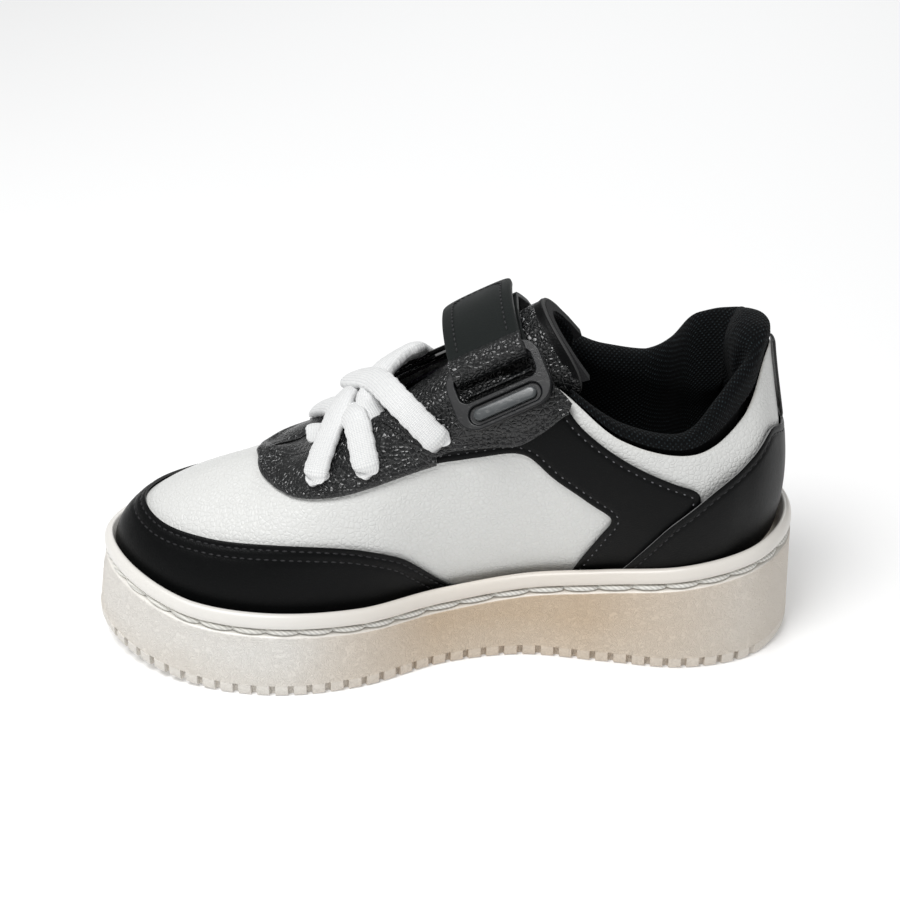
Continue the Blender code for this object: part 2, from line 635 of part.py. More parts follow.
def tongue_point(share, across, out):
    """share runs from the sewn base (0) to the top edge (1), across from -1 to 1 over the arch."""
    steps = np.linspace(0, 1, len(TONGUE_LINE))
    line = smooth_path(TONGUE_LINE, 6)
    at = share * (len(line) - 1)
    x = np.interp(at, range(len(line)), line[:, 0])
    z = np.interp(at, range(len(line)), line[:, 1])
    width = np.interp(share, steps, TONGUE_HALF_WIDTH)
    arch = np.interp(share, steps, TONGUE_ARCH)
    angle = across * TONGUE_WRAP
    down = arch * (1 - math.cos(angle))
    level = np.array([x, np.interp(share, steps, TONGUE_SWAY) + width * math.sin(angle), z])
    sink = np.array([math.sin(TONGUE_TILT), 0.0, -math.cos(TONGUE_TILT)])
    normal = np.array([0.0, math.sin(angle) * arch, 0.0]) - sink * width * math.cos(angle)
    return level + sink * down + normal / np.linalg.norm(normal) * out


def make_tongue():
    lengthways, crossways = 12, 10
    for name, (inner, thickness) in TONGUE_LAYERS.items():
        look = {"tongue_shell": PEBBLED_LEATHER, "tongue_foam": GREY_FOAM, "tongue_lining": BLACK_MESH}[name]
        rings = []
        across = np.linspace(-1, 1, crossways + 1)
        for share in np.linspace(0, 1, lengthways + 1):
            low = [tongue_point(share, side, inner) for side in across]
            high = [tongue_point(share, side, inner + thickness) for side in reversed(across)]
            rings.append(low + high)
        lofted(name, rings, look, TONGUE_PIVOT)


TONGUE_PIVOT = (TONGUE_LINE[0][0], 0.0, TONGUE_LINE[0][1])


# --- the strap and its ring ---------------------------------------------------------------------

W_DIRECTION = np.array([math.cos(STRAP_TILT), 0.0, math.sin(STRAP_TILT)])
Q_DIRECTION = np.array([-math.sin(STRAP_TILT), 0.0, math.cos(STRAP_TILT)])


def strap_point(w, y, q):
    return W_DIRECTION * w + Q_DIRECTION * q + np.array([0.0, y, 0.0])


def arc(radius, start, end, steps, y=0.0, q=STRAP_Q):
    """Points in the strap's (y, q) plane, with 0 degrees up and positive angles towards +Y."""
    angles = np.radians(np.linspace(start, end, steps))
    return [(y + radius * math.sin(angle), q + radius * math.cos(angle)) for angle in angles]


def strip(name, path, width, thickness, look, pivot=(0, 0, 0), round_end=False):
    """A flat strip that follows a path in the (y, q) plane; its last points may narrow to a round end."""
    path = np.array(path)
    ahead = np.gradient(path, axis=0)
    ahead /= np.linalg.norm(ahead, axis=1)[:, None]
    side = np.stack([-ahead[:, 1], ahead[:, 0]], axis=1) * thickness / 2
    to_end = np.linalg.norm(path - path[-1], axis=1)
    rings = []
    for (y, q), (across_y, across_q), left in zip(path, side, to_end):
        half = width / 2
        if round_end and left < half:
            half = max(width * 0.2, math.sqrt(max(half**2 - (half - left) ** 2, 0)))
        corners = ((-1, -1), (1, -1), (1, 1), (-1, 1))
        ring = [strap_point(STRAP_W + half * w, y + across_y * s, q + across_q * s) for w, s in corners]
        rings.append(ring)
    lofted(name, rings, look, pivot)


def beside_facing(height, out):
    """A point of the outer facing in the strap's (y, q) plane, at the strap's middle."""
    point = on_upper(STRAP_PLACE, height, out)
    return point[1], float(point @ Q_DIRECTION)


def strap_run():
    """From its seam on the outer side, over the tongue, to just under the ring's bar."""
    outer_side = [beside_facing(height, STRAP_LIFT + lift) for height, lift in STRAP_SIDE]
    return [*outer_side, *arc(RUN_RADIUS, *RUN_ARC, 7), RUN_END]


FOLD_RADIUS = BAR_RADIUS + FOLD_GAP + STRAP_THICKNESS / 2
FLAP_PIVOT = tuple(strap_point(STRAP_W, *arc(FLAP_RADIUS + STRAP_THICKNESS / 2, FLAP_HINGE, FLAP_HINGE, 1)[0]))
RING_DOWN = np.array([-math.cos(RING_SLOPE), -math.sin(RING_SLOPE)])
RING_OUT = np.array([RING_DOWN[1], -RING_DOWN[0]])


def ring_point(w, down, out):
    """w across the ring, down from its upper bar along its face, out square to its face."""
    y, q = np.array([BAR_Y, BAR_Q]) + RING_DOWN * down + RING_OUT * out
    return strap_point(STRAP_W + w, y, q)


RING_PIVOT = tuple(ring_point(0.0, RING_OPENING[1] + 1.2, -1.0))


def rounded_rectangle(half_width, low, high, radius, steps=4):
    """Corner arcs, joined by straight sides, in (w, down)."""
    corners = (
        (half_width - radius, high - radius, 0),
        (-half_width + radius, high - radius, 90),
        (-half_width + radius, low + radius, 180),
        (half_width - radius, low + radius, 270),
    )
    points = []
    for w, down, start in corners:
        for angle in np.radians(np.linspace(start, start + 90, steps)):
            points.append((w + radius * math.cos(angle), down + radius * math.sin(angle)))
    return points


def ring_slab(name, outer, hole, back, front, look, bevel):
    """A flat frame with rounded corners: the outline, an opening through it, and eased front edges."""
    bm = bmesh.new()
    levels = [(0.0, back), (0.0, front - bevel), (bevel, front)]
    loops = []
    for shrink, out in levels:
        half, low, high, radius = outer
        edge = rounded_rectangle(half - shrink, low + shrink, high - shrink, radius - shrink)
        loops.append([bm.verts.new(ring_point(w, down, out)) for w, down in edge])
    if hole:
        half, low, high, radius = hole
        for shrink, out in reversed(levels):
            edge = rounded_rectangle(half + shrink, low - shrink, high + shrink, radius + shrink)
            loops.append([bm.verts.new(ring_point(w, down, out)) for w, down in edge])
    count = len(loops[0])
    pairs = list(zip(loops, loops[1:])) + ([(loops[-1], loops[0])] if hole else [])
    for low, high in pairs:
        for i in range(count):
            bm.faces.new((low[i], low[(i + 1) % count], high[(i + 1) % count], high[i]))
    if not hole:
        bm.faces.new(loops[0])
        bm.faces.new(loops[-1])
    bmesh.ops.recalc_face_normals(bm, faces=bm.faces)
    return put_in_scene(name, bm, look, RING_PIVOT)


def make_ring():
    opened, closed_at, opening_width = RING_OPENING
    outer = (RING_WIDTH / 2, RING_TOP, RING_BOTTOM, RING_CORNER)
    hole = (opening_width / 2, opened, closed_at, OPENING_CORNER)
    half = RING_THICKNESS / 2
    frame = ring_slab("ring_frame", outer, hole, -half, half, BLACK_PLASTIC, RING_EDGE)
    recess = bmesh.new()
    pill = rounded_rectangle(*RECESS)
    ends = []
    for out in RECESS_DEPTHS:
        ends.append([recess.verts.new(ring_point(w, down, out)) for w, down in pill])
    for i in range(len(pill)):
        j = (i + 1) % len(pill)
        recess.faces.new((ends[0][i], ends[0][j], ends[1][j], ends[1][i]))
    recess.faces.new(ends[0])
    recess.faces.new(ends[1])
    bmesh.ops.recalc_face_normals(recess, faces=recess.faces)
    cut(frame, cutter("ring_recess_cutter", recess))
    ring_slab("ring_inlay", INLAY, None, *INLAY_DEPTHS, GREY_PLASTIC, INLAY_EDGE)


def make_ring_anchor():
    """The leather tab that holds the ring: it comes from the facing and shows in the ring's opening."""
    plane = []
    for down, out in smooth_path(ANCHOR_PATH, 3):
        plane.append(np.array([BAR_Y, BAR_Q]) + RING_DOWN * down + RING_OUT * out)
    strip("ring_anchor", plane, ANCHOR_WIDTH, ANCHOR_THICKNESS, BLACK_LEATHER)


def make_strap():
    strip("strap_lower_run", strap_run(), STRAP_WIDTH, STRAP_THICKNESS, BLACK_LEATHER)
    fold = [FOLD_START, *arc(FOLD_RADIUS, *FOLD_ARC, 8, BAR_Y, BAR_Q)]
    strip("strap_fold", fold, STRAP_WIDTH, STRAP_THICKNESS, BLACK_LEATHER, RING_PIVOT)
    flap = arc(FLAP_RADIUS, *FLAP_ARC, 12)
    strip("strap_flap", flap, STRAP_WIDTH, STRAP_THICKNESS, BLACK_LEATHER, FLAP_PIVOT, round_end=True)
    strip("hook_tape", arc(HOOK_RADIUS, *HOOK_ARC, 6), TAPE_WIDTH, TAPE_THICKNESS, BLACK_TAPE, FLAP_PIVOT)
    strip("loop_tape", arc(LOOP_RADIUS, *LOOP_ARC, 7), TAPE_WIDTH, TAPE_THICKNESS, BLACK_TAPE)


# --- the laces ----------------------------------------------------------------------------------


def eyelet(number, side):
    """An eyelet's place and height share: side is -1 for the inner row and 1 for the outer."""
    place, height = EYELETS[number]
    return (place if side < 0 else AROUND - place), height


def strand(name, path, first_top, last_top):
    """A flat elastic strand along a path; its flat side turns from the first direction to the last."""
    path = smooth_path(path, 4)
    ahead = np.gradient(path, axis=0)
    rings = []
    for step, (point, forward) in enumerate(zip(path, ahead)):
        share = step / (len(path) - 1)
        forward = forward / np.linalg.norm(forward)
        side = np.cross(forward, first_top * (1 - share) + last_top * share)
        side /= np.linalg.norm(side)
        top = np.cross(side, forward)
        narrow = LACE_END_SHARE if step in (0, len(path) - 1) else 1.0
        half, thick = LACE_WIDTH / 2 * narrow, LACE_THICKNESS / 2
        section = ((-1, 0), (-0.6, -1), (0.6, -1), (1, 0), (0.6, 1), (-0.6, 1))
        rings.append([point + side * half * a + top * thick * b for a, b in section])
    lofted(name, rings, WHITE_KNIT)


def lace(name, first, last, edges, rise, outs):
    """A strand from one lace hole up over the throat's edge, across, and down to another hole.

    edges holds the places where it crosses the two edges, outs its height off the leather at the two ends.
    """
    near, far = (on_upper(place, 0.97, out + LACE_EDGE_LIFT) for place, out in zip(edges, outs))
    path = [on_upper(*first, outs[0]), near, (near + far) / 2 + UP * rise, far, on_upper(*last, outs[1])]
    strand(name, path, upper_normal(*first), upper_normal(*last))


def make_laces():
    """Five strands, as they show: three cross over the throat and two dip below its edge."""
    outer_edge = AROUND - 7.15
    lace("lace_cross_under", eyelet(1, -1), eyelet(0, 1), (7.36, AROUND - 7.8), 0.6, (3.0, 3.0))
    lace("lace_cross_front", eyelet(0, -1), eyelet(1, 1), (7.84, outer_edge), 5.4, (3.0, 3.0))
    lace("lace_cross_top", eyelet(2, -1), eyelet(1, 1), (6.65, outer_edge), 5.8, (4.6, 5.4))
    rear = eyelet(2, 1)
    dive = [on_upper(*rear, 4.6), on_upper(AROUND - 6.4, 0.97, 5.0), *LACE_DIVE]
    strand("lace_cross_rear", dive, upper_normal(*rear), UP)
    strand("lace_bar_front", LACE_BAR, UP, UP)


def make_shoe():
    make_cup_sole()
    make_sidewall_stitch()
    make_beds()
    make_vamp_lining()
    make_stiffeners()
    make_vamp()
    make_quarters()
    make_mudguard()
    make_eyestay()
    make_saddles()
    make_facings()
    make_heel_tab()
    make_heel_counter()
    make_collar()
    make_tongue()
    make_ring_anchor()
    make_ring()
    make_strap()
    make_laces()


make_shoe()
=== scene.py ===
import math

import bmesh
import bpy
import numpy as np
from mathutils import Matrix, Vector


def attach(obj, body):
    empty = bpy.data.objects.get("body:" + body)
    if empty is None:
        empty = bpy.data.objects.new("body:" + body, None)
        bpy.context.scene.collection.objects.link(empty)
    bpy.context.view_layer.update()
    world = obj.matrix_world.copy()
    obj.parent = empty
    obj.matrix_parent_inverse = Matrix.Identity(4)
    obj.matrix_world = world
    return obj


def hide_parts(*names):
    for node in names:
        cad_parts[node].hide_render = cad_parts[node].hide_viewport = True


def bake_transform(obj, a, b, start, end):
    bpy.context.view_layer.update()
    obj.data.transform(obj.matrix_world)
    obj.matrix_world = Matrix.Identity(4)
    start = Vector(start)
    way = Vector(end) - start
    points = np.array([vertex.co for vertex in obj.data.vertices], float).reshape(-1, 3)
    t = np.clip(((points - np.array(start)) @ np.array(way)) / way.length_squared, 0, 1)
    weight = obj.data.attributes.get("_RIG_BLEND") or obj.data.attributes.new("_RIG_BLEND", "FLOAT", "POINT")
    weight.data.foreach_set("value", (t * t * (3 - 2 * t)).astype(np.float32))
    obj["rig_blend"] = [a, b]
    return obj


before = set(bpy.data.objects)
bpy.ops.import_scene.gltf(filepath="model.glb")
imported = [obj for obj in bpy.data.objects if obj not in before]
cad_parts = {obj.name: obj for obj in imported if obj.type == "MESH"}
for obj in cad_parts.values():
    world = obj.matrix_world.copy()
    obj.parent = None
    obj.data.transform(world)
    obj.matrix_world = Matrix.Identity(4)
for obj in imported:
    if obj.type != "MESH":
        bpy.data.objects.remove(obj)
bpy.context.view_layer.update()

# ---- Cup sole ----------------------------------------------------------------------------------
# One moulding of off-white rubber: a smooth rolled welt over a stitch groove, a finely wrinkled
# side wall, short notches along the foot and a ribbed bumper under the toe. The upper sits in it.

MM = 0.001
UP = np.array([0.0, 0.0, 1.0])
WELT_TOP = ((-117.5, 38.0), (-85, 31.4), (-52, 29.8), (0, 27.9), (50, 34.6), (90, 40.2), (117.5, 44.4))
TOE_END, HEEL_END = -117.5, 113.7
TO_MIDDLE = Vector((-(TOE_END + HEEL_END) / 2, 0.0, 0.0)) * MM  # puts the origin under the sole's middle
NOTCHED = (1.9, 10.2)  # stations between which the foot of the wall is notched
NOTCH_PITCH, NOTCH_HEIGHT, NOTCH_DEPTH = 6.0, 4.0, 1.8
NOTCH_INSIDE, NOTCH_OUTSIDE = 0.85, 0.97  # half widths at its floor and at its mouth
CUP_FLOOR = 10.0
TOE_SPRING, TOE_SPRING_FROM = 7.0, -70.0
HEEL_BEVEL, HEEL_BEVEL_FROM = 1.9, 95.0
WALL_TAPER, TOE_TAPER, TOE_TAPER_FROM = 1.2, 2.2, -85.0

# Stations from heel to toe: outline x, inner y, outer y; top line x, inner y, inner z, outer y,
# outer z; foot lean, foot rise, top spread, top drop.
STATIONS = (
    (113.7, 0.0, 0.0, 100.5, 0.0, 103.5, 0.0, 103.5, 5.5, 24.0, 1.8, 26.0),
    (109.4, -17.0, 17.0, 97.5, -9.5, 101.0, 9.5, 100.0, 4.5, 22.0, 4.0, 24.0),
    (96.2, -30.3, 30.5, 90.5, -19.5, 85.5, 19.5, 86.0, 2.0, 17.0, 8.0, 15.0),
    (74.0, -35.3, 35.5, 74.5, -29.0, 77.5, 28.5, 79.0, 3.0, 14.0, 6.0, 12.0),
    (48.0, -30.8, 36.0, 51.0, -30.0, 84.0, 28.5, 84.0, 6.0, 16.0, 6.0, 14.0),
    (22.0, -26.2, 38.0, 26.0, -22.0, 102.0, 20.0, 99.0, 9.0, 18.0, 12.0, 13.0),
    (-4.0, -30.3, 41.5, 0.0, -18.5, 96.0, 14.5, 91.5, 7.0, 18.0, 10.0, 8.0),
    (-30.0, -42.0, 45.0, -21.0, -15.5, 86.0, 11.5, 81.5, 2.0, 18.0, 8.0, 6.0),
    (-58.0, -46.0, 46.0, -38.0, -12.0, 74.5, 8.0, 70.5, 1.5, 18.0, 4.0, 4.0),
    (-88.0, -38.5, 36.5, -48.0, -8.0, 67.5, 5.0, 65.0, 1.5, 18.0, 2.0, 4.0),
    (-109.0, -22.5, 19.5, -54.0, -4.5, 66.0, 2.5, 64.5, 1.0, 18.0, 1.0, 4.0),
    (-117.5, -2.0, -2.0, -56.0, -0.5, 65.5, -0.5, 65.5, 0.5, 18.0, 0.0, 4.0),
)
TOE = len(STATIONS) - 1
AROUND = 2 * TOE
ROWS = []
for place in range(AROUND):
    x, inner_y, outer_y, top_x, *tops = STATIONS[min(place, AROUND - place)]
    ROWS.append(
        [
            x, inner_y if place <= TOE else outer_y, top_x, *(tops[:2] if place <= TOE else tops[2:4]),
            *tops[4:]
        ]
    )
ROWS = np.array(ROWS)


def smooth_path(points, pieces):
    """The points joined by a Catmull-Rom curve, with this many steps between neighbours."""
    points = np.array(points, float)
    ends = np.vstack([2 * points[0] - points[1], points, 2 * points[-1] - points[-2]])
    path = []
    for start in range(len(points) - 1):
        a, b, c, d = ends[start : start + 4]
        for step in range(pieces):
            t = step / pieces
            path.append(b + 0.5 * t * (c - a + t * (2 * a - 5 * b + 4 * c - d + t * (3 * (b - c) + d - a))))
    return np.array(path + [points[-1]])


def along(table, at):
    """A value read off a smooth curve through the listed (place, value) pairs."""
    curve = smooth_path(table, 8)
    return np.interp(at, curve[:, 0], curve[:, 1])


def between_stations(rows, place):
    place = np.asarray(place, float)
    first = np.floor(place).astype(int)
    t = (place - first)[..., None]
    a, b, c, d = (rows[(first + step) % AROUND] for step in (-1, 0, 1, 2))
    return b + 0.5 * t * (c - a + t * (2 * a - 5 * b + 4 * c - d + t * (3 * (b - c) + d - a)))


def outline(place):
    return between_stations(ROWS[:, :2], place)


def outward(place):
    """The level direction, square to the outline, that points away from the shoe."""
    forward = outline(place + 0.01) - outline(place - 0.01)
    forward /= np.linalg.norm(forward, axis=-1, keepdims=True)
    return np.stack([-forward[..., 1], forward[..., 0]], axis=-1)


def sole_bottom(x):
    toe = np.clip((TOE_SPRING_FROM - x) / (TOE_SPRING_FROM - TOE_END), 0, 1)
    heel = np.clip((x - HEEL_BEVEL_FROM) / (HEEL_END - HEEL_BEVEL_FROM), 0, 1)
    return TOE_SPRING * toe**1.7 + HEEL_BEVEL * heel**1.7


def sole_inset(x):
    return WALL_TAPER + TOE_TAPER * np.clip((TOE_TAPER_FROM - x) / (TOE_TAPER_FROM - TOE_END), 0, 1)


def formed(skin, uv=None, masks=None, close=0.0, cap=False):
    """A sheet of quads over an array of points (in mm), as a bmesh in metres. The UV map is in mm.

    Seams that meet are closed, and open ends are capped, before the normals are set outwards.
    """
    bm = bmesh.new()
    ups, overs = skin.shape[0], skin.shape[1]
    bmesh.ops.create_grid(bm, x_segments=ups - 1, y_segments=overs - 1, size=1.0)
    bm.verts.index_update()
    spots = np.array([vertex.co[:2] for vertex in bm.verts])
    up = np.rint((spots[:, 0] + 1) / 2 * (ups - 1)).astype(int)
    over = np.rint((spots[:, 1] + 1) / 2 * (overs - 1)).astype(int)
    for vertex, point in zip(bm.verts, skin[up, over] * MM):
        vertex.co = point
    if uv is not None:
        laid = uv[up, over]
        layer = bm.loops.layers.uv.new("UVMap")
        for face in bm.faces:
            for loop in face.loops:
                loop[layer].uv = laid[loop.vert.index]
    for key, values in (masks or {}).items():
        layer = bm.verts.layers.float.new(key)
        for vertex, value in zip(bm.verts, values[up, over]):
            vertex[layer] = value
    if close:
        bmesh.ops.remove_doubles(bm, verts=bm.verts, dist=close * MM)
        if cap:
            bmesh.ops.holes_fill(bm, edges=[edge for edge in bm.edges if edge.is_boundary])
        bmesh.ops.recalc_face_normals(bm, faces=bm.faces)
    return bm


def piece(name, bm, looks, body="shoe", crisp=None):
    """The bmesh as an object with its looks, and the body that it rides on."""
    bmesh.ops.translate(bm, verts=bm.verts, vec=TO_MIDDLE)
    mesh = bpy.data.meshes.new(name)
    bm.to_mesh(mesh)
    bm.free()
    mesh.shade_smooth()
    if crisp:
        mesh.set_sharp_from_angle(angle=math.radians(crisp))
    for look in looks:
        mesh.materials.append(look)
    made = bpy.data.objects.new(name, mesh)
    bpy.context.scene.collection.objects.link(made)
    if body:
        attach(made, body)
    return made


def node(look, kind, inputs=None, **settings):
    """A shader node; an input is given a value, or another node's output to link to."""
    made = look.node_tree.nodes.new("ShaderNode" + kind)
    for key, value in settings.items():
        setattr(made, key, value)
    for key, value in (inputs or {}).items():
        if isinstance(value, bpy.types.NodeSocket):
            look.node_tree.links.new(value, made.inputs[key])
        else:
            made.inputs[key].default_value = value
    return made


def new_look(name, **sockets):
    """A material and its Principled shader, with the plain sockets set on the shader itself."""
    look = bpy.data.materials.new(name)
    look.use_nodes = True
    shader = look.node_tree.nodes["Principled BSDF"]
    for key, value in sockets.items():
        shader.inputs[key.replace("_", " ")].default_value = value
    return look, shader


def tie(look, output, shader, socket):
    look.node_tree.links.new(output, shader.inputs[socket])


def sums(look, kind, a, b, clamp=False):
    """One Math node on two values or outputs."""
    return node(look, "Math", {0: a, 1: b}, operation=kind, use_clamp=clamp).outputs[0]


def times(look, a, b):
    return sums(look, "MULTIPLY", a, b)


def plus(look, a, b, clamp=False):
    return sums(look, "ADD", a, b, clamp)


def noise(look, where, scale, detail=2.0, roughness=0.5, distortion=0.0):
    inputs = {
        "Vector": where, "Scale": scale, "Detail": detail, "Roughness": roughness,
        "Distortion": distortion
    }
    return node(look, "TexNoise", inputs).outputs[0]


def raised(look, shader, height, strength, distance):
    """A bump in the surface, with its full depth in metres."""
    bump = node(look, "Bump", {"Strength": strength, "Distance": distance, "Height": height})
    tie(look, bump.outputs[0], shader, "Normal")


def spread(look, value, low, high, to_low=0.0, to_high=1.0):
    """A value's range stretched to another range, and held at its ends."""
    inputs = {"Value": value, "From Min": low, "From Max": high, "To Min": to_low, "To Max": to_high}
    return node(look, "MapRange", inputs).outputs[0]


def two_colours(look, share, first, second):
    made = node(look, "Mix", {"Factor": share, "A": (*first, 1.0), "B": (*second, 1.0)}, data_type="RGBA")
    made.inputs[6].default_value = (*first, 1.0)
    made.inputs[7].default_value = (*second, 1.0)
    return made.outputs[2]


def rubber(name, clean, soiled, painted_warm_shade):
    """Off-white moulded rubber: wavy fine wrinkles where the mask grain is 1, tread blocks below.

    The wall takes a painted warm tan at the waist and a little at the heel, standing for shade and warm
    reflected light.
    """
    look, shader = new_look(name, Specular_IOR_Level=0.42, Coat_Weight=0.06, Coat_Roughness=0.35)
    where = node(look, "TexCoord").outputs["Object"]
    grain = node(look, "Attribute", attribute_name="grain").outputs["Fac"]
    tread = node(look, "Attribute", attribute_name="tread").outputs["Fac"]
    waves = node(
        look, "TexNoise",
        {"Vector": where, "Scale": 620.0, "Detail": 2.0, "Roughness": 0.45, "Distortion": 1.6}
    )
    crests = spread(
        look, sums(look, "ABSOLUTE", sums(look, "SUBTRACT", waves.outputs[0], 0.5), 0.0), 0.0, 0.11, 1.0,
        0.0
    )
    pores = noise(look, where, 2600.0)
    height = plus(look, times(look, crests, grain), times(look, pores, 0.10))
    blocks = node(
        look, "TexWave", {"Vector": where, "Scale": 26.0, "Distortion": 0.0, "Phase Offset": 0.6},
        wave_type="RINGS", rings_direction="Z"
    )
    cuts = spread(look, blocks.outputs[0], 0.42, 0.58)
    height = plus(look, height, times(look, times(look, cuts, tread), 4.0))
    raised(look, shader, height, 0.55, 0.00042)
    cloud = noise(look, where, 22.0, 4.0, roughness=0.6)
    foot = spread(look, node(look, "SeparateXYZ", {0: where}).outputs[2], 0.0, 0.016, 0.55, 0.0)
    worn = plus(look, times(look, spread(look, cloud, 0.35, 0.75), 0.45), foot, clamp=True)
    worn = times(look, worn, plus(look, times(look, grain, 0.9), 0.1))
    length = node(look, "SeparateXYZ", {0: where}).outputs[0]
    # painted shade: the waist and a little of the heel are tinted tan for shade and warm reflected light
    waist = times(look, spread(look, length, -0.052, -0.004), spread(look, length, 0.045, 0.095, 1.0, 0.34))
    patchy = times(look, waist, spread(look, cloud, 0.25, 0.60, 0.80, 1.0))
    warm = times(look, patchy, plus(look, times(look, grain, 0.75), 0.25))
    light = two_colours(look, warm, clean, painted_warm_shade)
    mixed = node(look, "Mix", {}, data_type="RGBA")
    mixed.inputs[7].default_value = (*soiled, 1.0)
    look.node_tree.links.new(times(look, worn, 0.8), mixed.inputs[0])
    look.node_tree.links.new(light, mixed.inputs[6])
    tie(look, mixed.outputs[2], shader, "Base Color")
    tie(look, spread(look, grain, 0.0, 1.0, 0.30, 0.58), shader, "Roughness")
    return look


def lengths_along(points):
    """How far along the line each of its points lies."""
    return np.concatenate([[0], np.cumsum(np.linalg.norm(np.diff(points, axis=0), axis=1))])


def sole_columns():
    """Places round the sole, and for each whether it is inside a notch and whether on a toe rib."""
    first, last = NOTCHED
    notch_steps = (
        (-NOTCH_OUTSIDE, 0), (-NOTCH_INSIDE, 1), (NOTCH_INSIDE, 1), (NOTCH_OUTSIDE, 0), (2.2, 0), (3.6, 0)
    )
    found = [(place, 0.0, 0.0) for place in np.arange(0.0, first - 0.02, 0.07)]
    found += [(AROUND - place, 0.0, 0.0) for place in np.arange(0.0, first - 0.02, 0.07)]
    steps = np.linspace(first, last, 900)
    for side in (1, -1):
        places = steps if side > 0 else AROUND - steps
        points = outline(places)
        run = lengths_along(points)
        for middle in np.arange(0.0, run[-1], NOTCH_PITCH):
            for off, inside in notch_steps:
                at = float(np.interp(middle + off, run, places))
                found.append((at, float(inside), 0.0))
    ribs = np.arange(last + 0.012, AROUND - last, 0.0125)
    found += [(place, 0.0, float(step % 2)) for step, place in enumerate(ribs)]
    found = sorted({round(place, 5): (place, inside, rib) for place, inside, rib in found}.values())
    return np.array(found).T


def make_sole():
    places, notched, ribbed = sole_columns()
    flat, away = outline(places), outward(places)
    x = flat[:, 0]
    bottom, top, taper = sole_bottom(x), along(WELT_TOP, x), sole_inset(x)
    wall_low, wall_high = bottom + 1.4, top - 7.8
    from_toe = np.abs(places - TOE) / (TOE - NOTCHED[1])
    from_heel_end = np.minimum(places, AROUND - places) / NOTCHED[0]
    toe_line = np.where(from_toe < 1, bottom + 2.0 + 17.0 * (1 - from_toe), -99.0)
    heel_line = np.where(from_heel_end < 1, bottom + 3.0 + 3.5 * (1 - from_heel_end), -99.0)
    skin, grain, tread = [], [], []

    def add(inset, height, rough, sole=0.0):
        skin.append(
            np.column_stack([flat - away * np.asarray(inset)[..., None] * np.ones((len(x), 1)), height])
        )
        grain.append(np.full(len(x), rough))
        tread.append(np.full(len(x), sole))

    def add_flat(share, height, sole):
        skin.append(np.column_stack([flat * share, height]))
        grain.append(np.zeros(len(x)))
        tread.append(np.full(len(x), sole))

    zero = np.zeros(len(x))
    for share in (0.0, 0.25, 0.55):
        add_flat(share, zero, 1.0)
    for step in (0.25, 0.5, 0.75):
        blend = flat * 0.55 * (1 - step) + (flat - away * 1.6) * step
        skin.append(np.column_stack([blend, bottom * step]))
        grain.append(zero)
        tread.append(np.full(len(x), 1.0))
    for inset, lift in (
        (1.6, 0.0), (0.7, 0.12), (0.22, 0.55), (0.0, 1.3), (0.0, 2.4), (0.0, NOTCH_HEIGHT - 0.15)
    ):
        add(np.maximum(inset, notched * NOTCH_DEPTH), bottom + lift, 0.6, 0.0)
    for step in np.linspace(0, 1, 26):
        z = (bottom + NOTCH_HEIGHT) * (1 - step) + (wall_high - 0.6) * step
        inset = taper * (z - wall_low) / (wall_high - wall_low)
        ridge = 0.28 * np.exp(-(((z - toe_line) / 0.5) ** 2)) + 0.22 * np.exp(-(((z - heel_line) / 0.5) ** 2))
        ribs = np.where(z < toe_line - 0.4, 0.26 * ribbed, 0.0)
        add(inset - ridge - ribs, z, 1.0)
    for inset, down in (
        (0.02, 8.05), (0.25, 7.75), (0.9, 7.5), (1.9, 7.3), (2.45, 7.0), (2.5, 6.3), (2.45, 5.6), (1.9, 5.25),
        (1.0, 5.0), (0.4, 4.7), (0.12, 4.2), (0.02, 3.5), (0.05, 2.7), (0.22, 1.9), (0.55, 1.1), (1.05, 0.45),
        (1.6, 0.1), (2.2, 0.0), (2.7, 0.15), (3.0, 0.6), (4.5, 8.0),
    ):
        add(inset + taper, top - down, 1.0 if down > 7.9 else 0.0)
    add(6.2 + taper, CUP_FLOOR + bottom + 1.0, 0.0)
    add_flat(0.8, CUP_FLOOR + bottom, 0.0)
    add_flat(0.0, zero + CUP_FLOOR, 0.0)
    # the first column closes the ring
    skin, grain, tread = (np.array(rows)[:, list(range(len(x))) + [0]] for rows in (skin, grain, tread))
    bm = formed(skin[:, ::-1], masks={"grain": grain[:, ::-1], "tread": tread[:, ::-1]}, close=0.0005)
    # the last colour is the painted warm shade of the waist and heel
    look = rubber("white_sole_rubber", (0.84, 0.82, 0.78), (0.70, 0.63, 0.54), (0.60, 0.45, 0.30))
    sole = piece("sole", bm, [look], crisp=50)
    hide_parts("cup_sole")


make_sole()

# ---- Side wall stitching -----------------------------------------------------------------------
# A thick bonded polyester thread that runs through the wall's groove in 11 mm stitches and
# ties the sole to the upper; each stitch rises out of its hole and dives into the next.

STITCH_PITCH = 11.0


def thread_look(name, colour, twist=2200.0):
    """Twisted thread: fine slanting bands across it, and valleys between them darkened with painted shade."""
    look, shader = new_look(name, Roughness=0.5, Specular_IOR_Level=0.3)
    where = node(look, "TexCoord").outputs["Object"]
    bands = node(
        look, "TexWave", {"Vector": where, "Scale": twist / 6.28, "Distortion": 0.4},
        bands_direction="DIAGONAL"
    )
    raised(look, shader, bands.outputs[0], 0.5, 0.0001)
    # painted shade: the valleys between the bands are 0.72 as bright
    dark = [value * 0.72 for value in colour]
    tie(look, two_colours(look, bands.outputs[0], dark, colour), shader, "Base Color")
    return look


